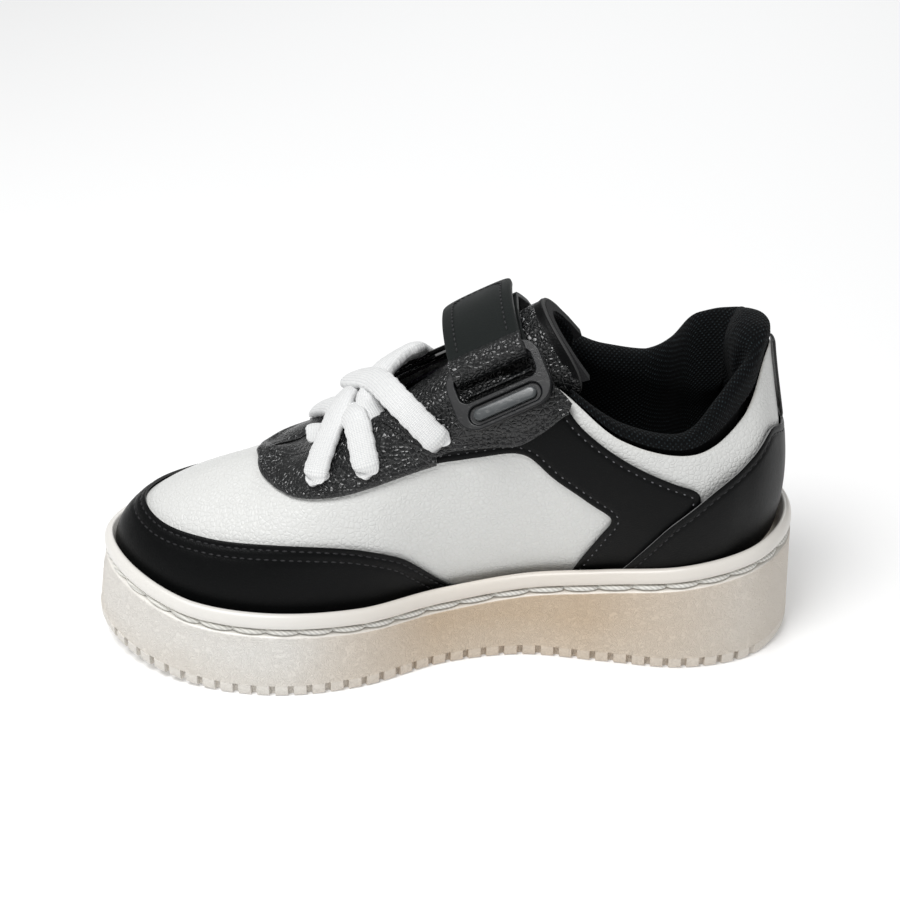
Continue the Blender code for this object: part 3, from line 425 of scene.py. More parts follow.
def make_sidewall_thread():
    places = np.linspace(0, AROUND, 1500)
    flat, away = outline(places), outward(places)
    run = lengths_along(flat)
    count = round(run[-1] / STITCH_PITCH)
    phase = (run / run[-1] * count) % 1.0
    lift = np.clip(np.sin(np.pi * phase), 0, 1) ** 0.35
    centre_in = sole_inset(flat[:, 0]) + 2.3 - 1.35 * lift
    size = 0.45 + 0.38 * lift
    height = along(WELT_TOP, flat[:, 0]) - 6.3 + 0.35 * (phase - 0.5)
    rows = []
    for angle in np.linspace(0, 2 * np.pi, 11):
        sideways = centre_in - math.cos(angle) * size
        rows.append(np.column_stack([flat - away * sideways[:, None], height + math.sin(angle) * size]))
    bm = formed(np.array(rows), close=0.0005)
    thread = piece("sole_thread", bm, [thread_look("white_sole_thread", (0.86, 0.85, 0.80))])
    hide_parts("sidewall_stitch")


make_sidewall_thread()

# ---- Filler, insole board and sock liner -------------------------------------------------------
# A foam filler and a fibre board lie in the cup, under a soft black sock liner that is faced
# with brushed mesh; the liner's rim turns up a little along the wall.

FOOTBED_TOP = ((-117.5, 25.0), (-50, 21.0), (0, 22.0), (50, 28.0), (90, 33.0), (117.5, 35.0))
LINER_INSET = 13.5


def mesh_look(name, dark, fleck_and_highlight, pitch, from_uv=True, depth=0.0005):
    """Knitted spacer mesh: rows of little raised loops, each half a step along from the last."""
    look, shader = new_look(
        name, Roughness=0.8, Sheen_Weight=0.02, Sheen_Roughness=0.5, Specular_IOR_Level=0.12
    )
    coords = node(look, "TexCoord").outputs["UV" if from_uv else "Object"]
    if not from_uv:
        coords = node(look, "VectorMath", {0: coords, 1: (1000.0,) * 3}, operation="MULTIPLY").outputs[0]
    wander = node(look, "TexNoise", {"Vector": coords, "Scale": 0.35, "Detail": 2.0})
    coords = node(
        look, "MixRGB", {"Fac": 0.12, "Color1": coords, "Color2": wander.outputs["Color"]},
        blend_type="ADD"
    ).outputs[0]
    apart = node(look, "SeparateXYZ", {0: coords})
    across = times(look, apart.outputs[0], 2 * math.pi / pitch)
    up = times(look, apart.outputs[1], 2 * math.pi / pitch)
    weave = times(look, sums(look, "SINE", across, 0.0), sums(look, "SINE", up, 0.0))
    loops = spread(look, weave, -0.25, 0.9)
    fibres = noise(look, coords, 2.2, 3.0, roughness=0.7)
    height = plus(look, loops, times(look, fibres, 0.5))
    raised(look, shader, height, 0.9, depth)
    # partly painted highlight on the loop crests, partly flecks from the fibre noise
    lit = times(look, spread(look, weave, 0.35, 0.95), spread(look, fibres, 0.42, 0.62))
    tie(look, two_colours(look, lit, dark, fleck_and_highlight), shader, "Base Color")
    return look


black_mesh = mesh_look("black_spacer_mesh", (0.0010, 0.0013, 0.0017), (0.034, 0.050, 0.058), 1.7)


def make_sock_liner():
    places = np.linspace(0.4, TOE - 0.5, 90)
    inner = outline(places) - outward(places) * LINER_INSET
    outer = outline(AROUND - places) - outward(AROUND - places) * LINER_INSET
    rows, uv = [], []
    for share in np.linspace(0, 1, 21):
        flat = inner * (1 - share) + outer * share
        rim = abs(2 * share - 1)
        height = along(FOOTBED_TOP, flat[:, 0]) - 0.3 - 0.9 * (1 - rim**4)
        rows.append(np.column_stack([flat, height]))
        uv.append(flat)
    bm = formed(np.array(rows), uv=np.array(uv))
    bmesh.ops.recalc_face_normals(bm, faces=bm.faces)
    liner = piece("sock_liner_cover", bm, [black_mesh])
    wall = liner.modifiers.new("thickness", "SOLIDIFY")
    wall.thickness, wall.offset = 2.4 * MM, -1.0
    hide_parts("sock_liner")


def foam_look(name, colour):
    """Open-cell foam or fibre board: fine pits in an even, slightly cloudy colour."""
    look, shader = new_look(name, Roughness=0.9)
    where = node(look, "TexCoord").outputs["Object"]
    cells = node(look, "TexVoronoi", {"Vector": where, "Scale": 1400.0}).outputs["Distance"]
    raised(look, shader, cells, 0.6, 0.0002)
    cloud = noise(look, where, 90.0, 3.0)
    tie(look, two_colours(look, cloud, [value * 0.75 for value in colour], colour), shader, "Base Color")
    return look


def dress(look, *nodes):
    """A CAD node keeps its shape and takes this look."""
    for name in nodes:
        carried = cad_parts[name]
        carried.data.materials.clear()
        carried.data.materials.append(look)


make_sock_liner()
dress(foam_look("eva_foam", (0.75, 0.74, 0.70)), "midsole_filler")
dress(foam_look("fibre_board", (0.60, 0.52, 0.40)), "insole_board", "toe_puff", "heel_stiffener")
dress(foam_look("black_foam", (0.008, 0.008, 0.009)), "collar_foam", "tongue_foam")
dress(
    mesh_look("vamp_lining_mesh", (0.004, 0.004, 0.006), (0.07, 0.08, 0.09), 1.8, from_uv=False),
    "vamp_lining"
)

# ---- Vamp and collar panels --------------------------------------------------------------------
# White coated leather with a fine even grain. The vamp is lasted over the toe and tucks under
# every black overlay; two panels carry the white round the ankle under the padded collar.

FEATHER_INSET, FEATHER_DROP, TOP_EASE = 8.6, 5.0, 0.35
BASE_LEATHER, FIRST_OVERLAY, SECOND_OVERLAY = (-1.0, 1.0), (0.8, 0.8), (2.2, 0.9)
VAMP_SEAM = ((3.6, 0.05), (3.7, 0.30), (3.8, 0.50), (4.2, 0.65), (4.6, 0.80), (5.0, 0.97))
QUARTER_SEAM = ((3.5, 0.02), (3.6, 0.30), (3.7, 0.51), (4.1, 0.67), (4.5, 0.82), (4.75, 0.92))


def upper(place, height):
    """Points on the base leather's outer face, from 0 at the sole to 1 at the top line."""
    row = between_stations(ROWS, place)
    level = outward(place)
    away = np.concatenate([level, np.zeros_like(level[..., :1])], axis=-1)
    foot_z = along(WELT_TOP, row[..., 0]) - FEATHER_DROP
    foot = np.concatenate([row[..., :2] - level * FEATHER_INSET, foot_z[..., None]], axis=-1)
    top = row[..., 2:5]
    lean, rise, spread_out, drop = (row[..., step, None] for step in (5, 6, 7, 8))
    foot_handle = foot + away * lean + UP * rise
    top_handle = top + (foot - top) * np.array([TOP_EASE, TOP_EASE, 0.0]) + away * spread_out - UP * drop
    up = np.asarray(height, float)[..., None]
    rest = 1.0 - up
    return rest**3 * foot + 3 * rest**2 * up * foot_handle + 3 * rest * up**2 * top_handle + up**3 * top


def upper_normal(place, height):
    step = 0.005
    along_shoe = upper(place + step, height) - upper(place - step, height)
    up_shoe = upper(place, height + step) - upper(place, height - step)
    normal = np.cross(up_shoe, along_shoe)
    return normal / np.linalg.norm(normal, axis=-1, keepdims=True)


def on_upper(place, height, out):
    place, height = np.asarray(place, float), np.asarray(height, float)
    return upper(place, height) + upper_normal(place, height) * np.asarray(out)[..., None]


def from_heel(place):
    return np.minimum(place % AROUND, AROUND - place % AROUND)


def other_side(edge):
    edge = np.array(edge)[::-1].copy()
    edge[:, 0] = AROUND - edge[:, 0]
    return edge


def reach(points, line):
    """Each point's distance in mm from a line of points."""
    found = np.empty(points.shape[:2])
    for row, spots in enumerate(points):
        found[row] = np.linalg.norm(spots[:, None, :] - line[None], axis=-1).min(axis=1)
    return found


def panel(
    name, low, high, layer, looks, slot, replaced, rows=26, low_rows=(), high_rows=(), puff=0.0, roll=0.0
):
    """A leather panel between two edges on the upper, heel to toe, with the channels of its stitch rows.

    low_rows and high_rows are the rows' distances from the two edges; roll thickens the low edge.
    Returns the stitch rows' lines as (place, height) with their height off the leather.
    """
    inner_face, thickness = layer
    low, high = np.array(low, float), np.array(high, float)
    share = np.linspace(0, 1, rows)
    share = (share - 0.09 * np.sin(2 * np.pi * share))[:, None, None]
    grid = low[None] * (1 - share) + high[None] * share
    place, height = grid[..., 0], grid[..., 1]
    base = upper(place, height)
    from_low, from_high = reach(base, base[0]), reach(base, base[-1])
    edge = np.minimum(from_low, from_high)
    lift = puff * (1 - np.exp(-((edge / 5.0) ** 2))) - 0.22 * np.exp(-((edge / 0.45) ** 2))
    for distance in low_rows:
        lift -= 0.3 * np.exp(-(((from_low - distance) / 0.6) ** 2))
    for distance in high_rows:
        lift -= 0.3 * np.exp(-(((from_high - distance) / 0.6) ** 2))
    lift += roll * np.exp(-(((from_low - 0.8) / 0.8) ** 2))
    start = inner_face(place) if callable(inner_face) else inner_face
    skin = base + upper_normal(place, height) * (start + lift)[..., None]
    run = lengths_along(base[-1])
    uv = np.stack([np.broadcast_to(run, place.shape), from_low], axis=-1)
    bm = formed(skin, uv=uv, masks={"edge": edge})
    made = piece(name, bm, looks)
    wall = made.modifiers.new("thickness", "SOLIDIFY")
    wall.thickness, wall.offset = thickness * MM, 1.0
    wall.material_offset_rim = len(looks) - 1
    soften = made.modifiers.new("soft_edges", "BEVEL")
    soften.width, soften.segments, soften.limit_method = 0.22 * MM, 2, "ANGLE"
    soften.angle_limit = math.radians(60)
    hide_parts(replaced)
    lines = []
    surface = np.mean(start) + thickness - 0.3 if not callable(inner_face) else None
    for distances, found in ((low_rows, from_low), (high_rows, from_high)):
        for distance in distances:
            line = []
            for column in range(grid.shape[1]):
                reached = found[:, column]
                order = np.argsort(reached)
                if reached.max() < distance:
                    continue
                line.append(
                    [np.interp(distance, reached[order], grid[order, column, axis]) for axis in (0, 1)]
                )
            lines.append((np.array(line), surface))
    return lines


def read_along(run, points, at):
    """Points found at these distances along a line whose own distances are in run."""
    return np.stack([np.interp(at, run, points[:, axis]) for axis in range(points.shape[1])], axis=-1)


def sew(name, lines, look, pitch=2.6, length=1.9, width=0.62):
    """Rows of single stitches: each is a short rounded bar of thread lying in the row's channel."""
    bm = bmesh.new()
    for line, surface in lines:
        points = upper(line[:, 0], line[:, 1])
        run = lengths_along(points)
        middles = np.arange(pitch / 2, run[-1], pitch)
        place, height = np.interp(middles, run, line[:, 0]), np.interp(middles, run, line[:, 1])
        out = surface(place) if callable(surface) else surface
        centre = on_upper(place, height, out + 0 * place)
        facing = upper_normal(place, height)
        ahead = read_along(run, points, middles + 0.5) - read_along(run, points, middles - 0.5)
        for spot, normal, forward in zip(centre, facing, ahead):
            forward = forward / np.linalg.norm(forward)
            side = np.cross(normal, forward)
            rows = np.column_stack([forward * length / 2, side * width / 2, normal * 0.3, spot]) * MM
            shape = Matrix([*rows.tolist(), [0, 0, 0, 1]])
            bmesh.ops.create_uvsphere(bm, u_segments=8, v_segments=5, radius=1.0, matrix=shape)
    return piece(name, bm, [look])


def leather(name, colour, worn, cell, depth, roughness, crinkle=0.0, tint=0.0, coat=0.0, gloss=0.5):
    """Coated leather: cells of grain with creases between them, fine pores, and duller, paler edges."""
    look, shader = new_look(name, Specular_IOR_Level=gloss, Coat_Weight=coat, Coat_Roughness=0.22)
    where = node(look, "TexCoord").outputs["Object"]
    swirl = node(look, "TexNoise", {"Vector": where, "Scale": 260.0, "Detail": 2.0})
    bent = node(
        look, "MixRGB", {"Fac": 0.0009, "Color1": where, "Color2": swirl.outputs["Color"]},
        blend_type="ADD"
    ).outputs[0]
    cells = node(
        look, "TexVoronoi", {"Vector": bent, "Scale": 1000.0 / cell}, feature="DISTANCE_TO_EDGE"
    ).outputs["Distance"]
    domes = spread(look, cells, 0.0, 0.22)
    tilt = node(
        look, "TexVoronoi", {"Vector": bent, "Scale": 1000.0 / cell}, feature="SMOOTH_F1"
    ).outputs["Distance"]
    pores = noise(look, where, 2400.0, 3.0)
    folds = noise(look, where, 95.0, 3.0, roughness=0.6, distortion=0.8)
    height = sums(look, "SUBTRACT", domes, times(look, tilt, 0.35))
    height = plus(look, height, times(look, pores, 0.06))
    height = plus(look, height, times(look, folds, 1.2 + crinkle))
    raised(look, shader, height, 0.8, depth)
    cloud = noise(look, where, 30.0, 4.0, roughness=0.6)
    edge = node(look, "Attribute", attribute_name="edge").outputs["Fac"]
    edge_wear_and_dark_creases = times(look, spread(look, edge, 0.0, 0.9, 0.8, 0.0), spread(look, cloud, 0.3, 0.6))
    # with tint, the creases between the grain cells are also darkened towards the second colour
    edge_wear_and_dark_creases = plus(
        look, edge_wear_and_dark_creases, times(look, spread(look, cells, 0.0, 0.08, 0.5, 0.0), 0.30 if tint else 0.0),
        clamp=True
    )
    tie(look, two_colours(look, edge_wear_and_dark_creases, colour, worn), shader, "Base Color")
    tie(
        look,
        spread(
            look, plus(look, cloud, times(look, pores, 0.4)), 0.35, 1.0, roughness - 0.06,
            roughness + 0.10
        ),
        shader, "Roughness"
    )
    return look


white_leather = leather(
    "white_leather", (0.76, 0.765, 0.75), (0.60, 0.58, 0.53), 1.5, 0.00014, 0.40, tint=1.0, coat=0.05
)
turned_edge = leather(
    "black_turned_edge", (0.006, 0.006, 0.006), (0.02, 0.02, 0.02), 0.6, 0.00005, 0.6, gloss=0.1
)


def make_white_leather():
    places = np.linspace(3.62, AROUND - 3.62, 330)
    low = np.column_stack([places, np.full(len(places), 0.02)])
    high = np.column_stack([places, np.minimum(along(VAMP_SEAM, from_heel(places)), 0.93)])
    panel(
        "vamp_leather", low, high, BASE_LEATHER, [white_leather, turned_edge], "white_leather", "vamp",
        rows=44
    )
    places = np.linspace(0.06, 4.75, 130)
    low = np.column_stack([places, along(QUARTER_SEAM, places)])
    high = np.column_stack([places, np.full(len(places), 0.99)])
    for side, edges in (("medial", (low, high)), ("lateral", (other_side(low), other_side(high)))):
        panel(
            f"collar_leather_{side}", *edges, BASE_LEATHER, [white_leather, turned_edge], "white_leather",
            f"collar_panel_{side}", rows=34
        )


make_white_leather()

# ---- Mudguard ----------------------------------------------------------------------------------
# The black toe overlay, cut from smooth coated leather and sewn on with two rows of black thread;
# its lower edge is lasted into the sole.

MUDGUARD_TOP = (
    (5.6, 0.02), (5.7, 0.03), (5.92, 0.10), (6.2, 0.20), (6.5, 0.28), (7.0, 0.345), (7.7, 0.39),
    (8.4, 0.405), (9.1, 0.39), (9.9, 0.35), (11.0, 0.34), (11.2, 0.34),
)
black_leather = leather(
    "black_smooth_leather", (0.0026, 0.0029, 0.0031), (0.010, 0.010, 0.010), 0.8, 0.00004, 0.36,
    gloss=0.11
)
cut_edge = leather("black_leather_cut_edge", (0.02, 0.02, 0.02), (0.05, 0.05, 0.05), 0.5, 0.00005, 0.6)
black_thread = thread_look("black_thread", (0.022, 0.022, 0.024), twist=5200.0)


def make_mudguard():
    places = np.linspace(5.6, AROUND - 5.6, 300)
    low = np.column_stack([places, np.full(len(places), 0.015)])
    high = np.column_stack([places, along(MUDGUARD_TOP, from_heel(places))])
    lines = panel(
        "mudguard_leather", low, high, FIRST_OVERLAY, [black_leather, cut_edge], "black_leather",
        "mudguard", high_rows=(1.5, 4.4), rows=30
    )
    sew("mudguard_thread", lines, black_thread)


make_mudguard()

# ---- Eyestay -----------------------------------------------------------------------------------
# Crinkled pebbled leather round the throat. It carries the two front pairs of lace holes, and its
# lower edge is folded over into a small roll.

EYESTAY_LOW = (
    (6.1, 0.64), (6.2, 0.64), (6.7, 0.63), (7.4, 0.61), (8.05, 0.64), (8.5, 0.70), (9.0, 0.77),
    (10.15, 0.885), (11.0, 0.90), (11.2, 0.90),
)
pebbled = leather(
    "black_pebbled_leather", (0.004, 0.0046, 0.005), (0.010, 0.011, 0.012), 1.35, 0.00024, 0.25,
    crinkle=0.8, gloss=0.62
)


def make_eyestay():
    places = np.linspace(6.183, AROUND - 6.183, 260)
    low = np.column_stack([places, along(EYESTAY_LOW, from_heel(places))])
    high = np.column_stack([places, np.full(len(places), 0.985)])
    lines = panel(
        "eyestay_leather", low, high, FIRST_OVERLAY, [pebbled, black_leather], "pebbled_leather",
        "eyestay_front", high_rows=(1.6,), roll=0.5, rows=30
    )
    sew("eyestay_thread", lines, black_thread, pitch=2.2, length=1.5)


def make_throat_gusset():
    """A soft piece under the eyestay's front that closes the end of the throat."""
    places = np.linspace(8.3, TOE, 26)
    inner, outer = on_upper(places, 0.975, 0.4), on_upper(AROUND - places, 0.975, 0.4)
    share = np.linspace(0, 1, 13)[:, None, None]
    skin = inner[None] * (1 - share) + outer[None] * share + UP * 0.9 * np.sin(np.pi * share)
    bm = formed(skin, masks={"edge": np.full(skin.shape[:2], 9.0)})
    gusset = piece("throat_gusset", bm, [pebbled])
    wall = gusset.modifiers.new("thickness", "SOLIDIFY")
    wall.thickness, wall.offset = 0.8 * MM, 0.0


make_eyestay()
make_throat_gusset()

# ---- Saddles and lace facings ------------------------------------------------------------------
# Smooth black saddles run from the lace facings down to the sole on both sides, sewn with a row of
# short stitches along each edge. The pebbled facings over them hold the rear pair of lace holes.

SADDLE_FRONT = (
    (6.18, 0.645), (5.6, 0.64), (5.1, 0.64), (4.7, 0.58), (4.3, 0.54),
    (3.98, 0.47), (4.12, 0.32), (4.34, 0.14), (4.47, 0.02),
)
SADDLE_BACK = (
    (6.18, 0.985), (5.5, 0.985), (4.85, 0.975), (4.5, 0.90), (3.99, 0.885),
    (3.3, 0.79), (2.9, 0.66), (3.1, 0.34), (3.4, 0.02),
)
FACING_LOW = (
    (6.98, 0.93), (6.34, 0.70), (5.95, 0.69), (5.5, 0.68), (5.16, 0.685), (4.86, 0.77), (4.62, 0.91),
)
FACING_HIGH = (
    (7.0, 0.975), (6.5, 0.985), (6.0, 0.985), (5.5, 0.985), (5.1, 0.985), (4.8, 0.985), (4.6, 0.975),
)
# painted highlight: the saddles' and counter's cut edges are light grey, partly the cut leather's own colour
# and partly light from above
pale_edge_and_highlight = leather("grey_cut_edge_and_painted_highlight", (0.20, 0.20, 0.20), (0.32, 0.32, 0.32), 0.5, 0.00005, 0.5)
grey_thread = thread_look("grey_thread", (0.16, 0.16, 0.17), twist=5200.0)


def make_saddles():
    low, high = smooth_path(SADDLE_FRONT, 16)[::-1], smooth_path(SADDLE_BACK, 16)[::-1]
    for side, edges in (("medial", (low, high)), ("lateral", (other_side(low), other_side(high)))):
        lines = panel(
            f"saddle_leather_{side}", *edges, FIRST_OVERLAY, [black_leather, pale_edge_and_highlight], "black_leather",
            f"saddle_{side}", rows=34, low_rows=(2.0,), high_rows=(2.0,)
        )
        sew(f"saddle_thread_{side}", lines, grey_thread, pitch=2.8, length=0.9, width=0.5)


def make_facings():
    low, high = smooth_path(FACING_LOW, 20)[::-1], smooth_path(FACING_HIGH, 20)[::-1]
    for side, edges in (("medial", (low, high)), ("lateral", (other_side(low), other_side(high)))):
        lines = panel(
            f"facing_leather_{side}", *edges, SECOND_OVERLAY, [pebbled, black_leather], "pebbled_leather",
            f"facing_{side}", rows=30, low_rows=(1.2, 2.9), puff=0.3
        )
        sew(f"facing_thread_{side}", lines, black_thread, pitch=2.2, length=1.6)


make_saddles()
make_facings()

# ---- Heel counter and heel tab -----------------------------------------------------------------
# The smooth black counter wraps the heel over the saddles' rear edges; its cut upper edge shows as a
# thin pale line, the cut leather's grey with a painted highlight. A narrow black tab runs up the
# middle of the heel to the collar.

COUNTER_TOP = (
    (-0.5, 0.585), (0.0, 0.57), (0.5, 0.585), (1.0, 0.65), (1.4, 0.72), (1.8, 0.74), (2.24, 0.73),
    (2.56, 0.71),
    (2.84, 0.65), (3.23, 0.49), (3.48, 0.33), (3.78, 0.11), (3.92, 0.03), (3.99, 0.02),
)
COUNTER_LIFT = ((-0.5, 0.9), (0.0, 0.9), (1.8, 0.9), (2.5, 2.15), (3.2, 2.26), (3.95, 1.95), (4.0, 1.9))


def counter_lift(place):
    return along(COUNTER_LIFT, np.abs(place))


def make_heel():
    places = np.linspace(-3.95, 3.95, 220)
    low = np.column_stack([places, np.full(len(places), 0.015)])
    high = np.column_stack([places, along(COUNTER_TOP, np.abs(places))])
    lines = panel(
        "counter_leather", low, high, (counter_lift, 0.8), [black_leather, pale_edge_and_highlight], "black_leather",
        "heel_counter", rows=36, high_rows=(2.2,)
    )
    lines = [(line, lambda place: counter_lift(place) + 0.5) for line, _ in lines]
    sew("counter_thread", lines, black_thread, pitch=2.6, length=1.7)
    places = np.linspace(-0.3, 0.3, 15)
    low, high = (np.column_stack([places, np.full(len(places), height)]) for height in (0.60, 0.99))
    panel(
        "heel_tab_leather", low, high, FIRST_OVERLAY, [black_leather, cut_edge], "black_leather",
        "heel_tab", rows=34
    )


make_heel()

# ---- Padded collar -----------------------------------------------------------------------------
# Black spacer mesh over soft foam: it is sewn to the collar panels' top edge, swells up into a roll
# round the ankle and runs down inside to line the quarters.

COLLAR_LIFT = (
    (-4.85, 3.0), (-3.6, 6.0), (-3.3, 8.0), (-3.0, 13.5), (-2.6, 22.5), (-2.0, 22.5), (-1.5, 17.0),
    (-1.0, 11.0), (0.0, 8.5), (1.0, 9.5), (1.5, 14.0), (2.0, 19.0), (2.5, 16.0), (3.0, 8.5), (3.5, 6.0),
    (4.85, 3.0),
)
COLLAR_DEPTH = (
    (-0.5, 13.5), (0.0, 13.5), (1.0, 13.0), (2.0, 12.5), (3.0, 9.0), (4.0, 7.5), (4.6, 5.5), (4.8, 5.0)
)
COLLAR_SQUARE = ((-0.5, 0.4), (0.0, 0.4), (1.0, 0.4), (2.0, 0.8), (3.0, 1.0), (5.0, 1.0))
COLLAR_SKIN = (
    (0.08, 3.9, 0.0, 0.0), (0.28, 3.7, 0.05, 0.0), (0.46, 2.0, 0.4, 0.0), (0.64, 0.5, 0.72, 0.0),
    (0.82, 0.0, 0.93, 0.0), (0.96, 0.0, 1.0, 0.1), (0.98, 0.0, 0.98, 0.5), (0.99, 0.0, 0.82, 0.85),
    (0.99, 0.0, 0.58, 1.0), (0.99, 0.2, 0.32, 0.96), (0.99, 0.4, 0.06, 0.76), (0.99, 0.5, 0.0, 0.36),
)


def make_collar():
    places = np.linspace(-4.6, 4.6, 260)
    profile = smooth_path(COLLAR_SKIN, 7)
    lift, depth = along(COLLAR_LIFT, places), along(COLLAR_DEPTH, np.abs(places))
    square = along(COLLAR_SQUARE, np.abs(places))
    inward = -np.column_stack([np.ones(len(places)), square, np.ones(len(places))]) * depth[:, None]
    rows = []
    for height, near, share, rise in profile:
        level = np.full(len(places), min(height, 0.99))
        facing = upper_normal(places, level)
        point = upper(places, level) - facing * near
        # where the roll is full, the mesh gathers in soft shallow folds across it
        waves = np.sin(places * 9.0 + 2.0 * rise) * np.sin(places * 2.3 + 1.0)
        folds = 0.35 * waves * min(1.0, share * 2) * (1 - share * 0.5)
        rows.append(point + inward * facing * share + UP * (lift * rise)[:, None] + facing * folds[:, None])
    skin = np.array(rows)
    across = np.concatenate(
        [np.zeros((1, len(places))), np.cumsum(np.linalg.norm(np.diff(skin, axis=0), axis=2), axis=0)]
    )
    middle = skin[len(rows) * 3 // 4]
    run = lengths_along(middle)
    uv = np.stack([np.broadcast_to(run, across.shape), across[-1] - across], axis=-1)
    bm = formed(skin, uv=uv)
    collar = piece("collar_mesh", bm, [black_mesh])
    wall = collar.modifiers.new("thickness", "SOLIDIFY")
    wall.thickness, wall.offset = 0.6 * MM, 0.0
    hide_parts("collar_lining")


make_collar()

# ---- Tongue ------------------------------------------------------------------------------------
# A padded arch over the instep, sewn in at its base: pebbled leather outside, a smooth binding
# strip with a corded edge round the top, and black mesh against the foot.

TONGUE_LINE = ((-48.0, 62.5), (-30.0, 74.0), (-8.0, 90.0), (12.0, 105.0), (28.5, 117.5))
TONGUE_SWAY = (-1.5, -2.0, -2.0, -2.0, -1.5)
TONGUE_HALF_WIDTH = (8.0, 11.0, 14.0, 17.0, 19.0)
TONGUE_ARCH = (3.0, 7.0, 12.0, 20.0, 29.0)
TONGUE_TILT, TONGUE_SPAN = math.radians(36.0), math.radians(78.0)
TONGUE_WRAP = 1.14  # the padded shell reaches this far round, in spans


def tongue_points(share, across, out):
    """share runs from the sewn base to the top edge, across from -1 to 1 over the arch."""
    steps = np.linspace(0, 1, len(TONGUE_LINE))
    line = smooth_path(TONGUE_LINE, 12)
    at = np.clip(share, 0, 1) * (len(line) - 1)
    x, z = (np.interp(at, range(len(line)), line[:, axis]) for axis in (0, 1))
    width, arch, sway = (
        along(tuple(zip(steps, table)), share) for table in (TONGUE_HALF_WIDTH, TONGUE_ARCH, TONGUE_SWAY)
    )
    angle = across * TONGUE_SPAN
    sink = np.array([math.sin(TONGUE_TILT), 0.0, -math.cos(TONGUE_TILT)])
    level = np.stack([x, sway + width * np.sin(angle), z], axis=-1)
    normal = np.stack(
        [0 * x, np.sin(angle) * arch, 0 * x], axis=-1
    ) - sink * (width * np.cos(angle))[..., None]
    normal /= np.linalg.norm(normal, axis=-1, keepdims=True)
    return level + sink * (arch * (1 - np.cos(angle)))[..., None] + normal * out[..., None]


def make_tongue():
    across = np.linspace(-TONGUE_WRAP, TONGUE_WRAP, 81)
    turn = np.linspace(0, 1, 70)
    share, side = np.meshgrid(
        np.concatenate([turn * 0.985, 0.985 + 0.015 * np.sin(np.linspace(0.2, np.pi / 2, 8))]), across,
        indexing="ij"
    )
    reach_side = np.abs(side) / TONGUE_WRAP
    share = share * (1 - 0.07 * reach_side**7)
    edge = 1 - reach_side**8
    strip_starts = 0.965
    swell = np.exp(-(((share - 0.80) / 0.12) ** 2))
    puff = 1.5 * swell - 0.4 * np.exp(-(((share - strip_starts) / 0.008) ** 2))
    roll = np.clip((share / (1 - 0.07 * reach_side**7) - 0.985) / 0.015, 0, 1)
    out = -3.4 + (3.1 + puff) * np.sqrt(np.clip(edge, 0, 1)) * np.sqrt(np.clip(1 - roll**2, 0, 1))
    skin = tongue_points(share, side, out)
    smooth = np.where(share > strip_starts, 0.0, 1.0)
    bm = formed(skin, masks={"edge": np.full(share.shape, 9.0), "pebbled": smooth})
    bmesh.ops.recalc_face_normals(bm, faces=bm.faces)
    if sum(face.normal.z for face in bm.faces) < 0:
        bmesh.ops.reverse_faces(bm, faces=bm.faces)
    bm.faces.ensure_lookup_table()
    layer = bm.verts.layers.float["pebbled"]
    for face in bm.faces:
        face.material_index = 0 if sum(vertex[layer] for vertex in face.verts) > 2 else 1
    shell = piece("tongue_leather", bm, [pebbled, black_leather], body="tongue")
    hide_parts("tongue_shell")
    out = -3.4 - 3.2 * np.sqrt(np.clip(edge, 0, 1)) * np.sqrt(np.clip(1 - roll**2, 0, 1))
    skin = tongue_points(share, side, out)
    uv = np.stack([side * 26.0, share * 92.0], axis=-1)
    bm = formed(skin[::-1], uv=uv[::-1])
    lining = piece("tongue_mesh", bm, [black_mesh], body="tongue")
    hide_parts("tongue_lining")
    turn = np.linspace(-1.12, 1.12, 90)
    top_edge = 0.992 - 0.07 * (np.abs(turn) / TONGUE_WRAP) ** 7
    cord = tongue_points(top_edge, turn, -3.4 + 2.4 * (1 - (np.abs(turn) / TONGUE_WRAP) ** 8))
    tops = cord - tongue_points(top_edge - 0.09, turn, np.full(90, -3.0))
    bm = ribbon(cord, tops, 0.6, 0.6, oval)
    piece("tongue_binding_cord", bm, [cut_edge], body="tongue")


def oval(half, thick, count=16):
    """A section that swells at its middle, like a knitted band or a cord."""
    angle = np.linspace(0, 2 * np.pi, count + 1)
    return np.stack(
        [half * np.cos(angle), thick * np.sign(np.sin(angle)) * np.abs(np.sin(angle)) ** 0.8], axis=-1
    )


def flat_band(half, thick, count=30):
    """A flat strap's section with rounded edges."""
    angle = np.linspace(0, 2 * np.pi, count + 1)
    wide = np.clip(np.cos(angle) * 1.6, -1, 1) * (half - thick) + np.cos(angle) * thick
    return np.stack(
        [wide, thick * np.sign(np.sin(angle)) * np.clip(np.abs(np.sin(angle)) * 1.8, 0, 1) ** 0.7],
        axis=-1
    )


def ribbon(path, tops, half, thick, section):
    """A closed band along a path: its section is laid square to the path, with tops as its upper side."""
    ahead = np.gradient(path, axis=0)
    ahead /= np.linalg.norm(ahead, axis=1)[:, None]
    side = np.cross(ahead, tops)
    side /= np.linalg.norm(side, axis=1)[:, None]
    top = np.cross(side, ahead)
    run = lengths_along(path)
    half, thick = np.broadcast_to(half, run.shape), np.broadcast_to(thick, run.shape)
    rings, laid, inside = [], [], []
    for step, point in enumerate(path):
        ring = section(half[step], thick[step])
        rings.append(point + side[step] * ring[:, :1] + top[step] * ring[:, 1:])
        laid.append(np.column_stack([ring[:, 0], np.full(len(ring), run[step])]))
        inside.append(half[step] - np.abs(ring[:, 0]))
    return formed(
        np.array(rings), uv=np.array(laid), masks={"edge": np.array(inside)}, close=0.0005, cap=True
    )


make_tongue()

# ---- Ring and its leather tab ------------------------------------------------------------------
# A satin black moulded ring with one wide opening for the strap, and a raised grey inlay in a
# rounded recess below it. A crinkled leather tab from the facing holds it by the cross piece.

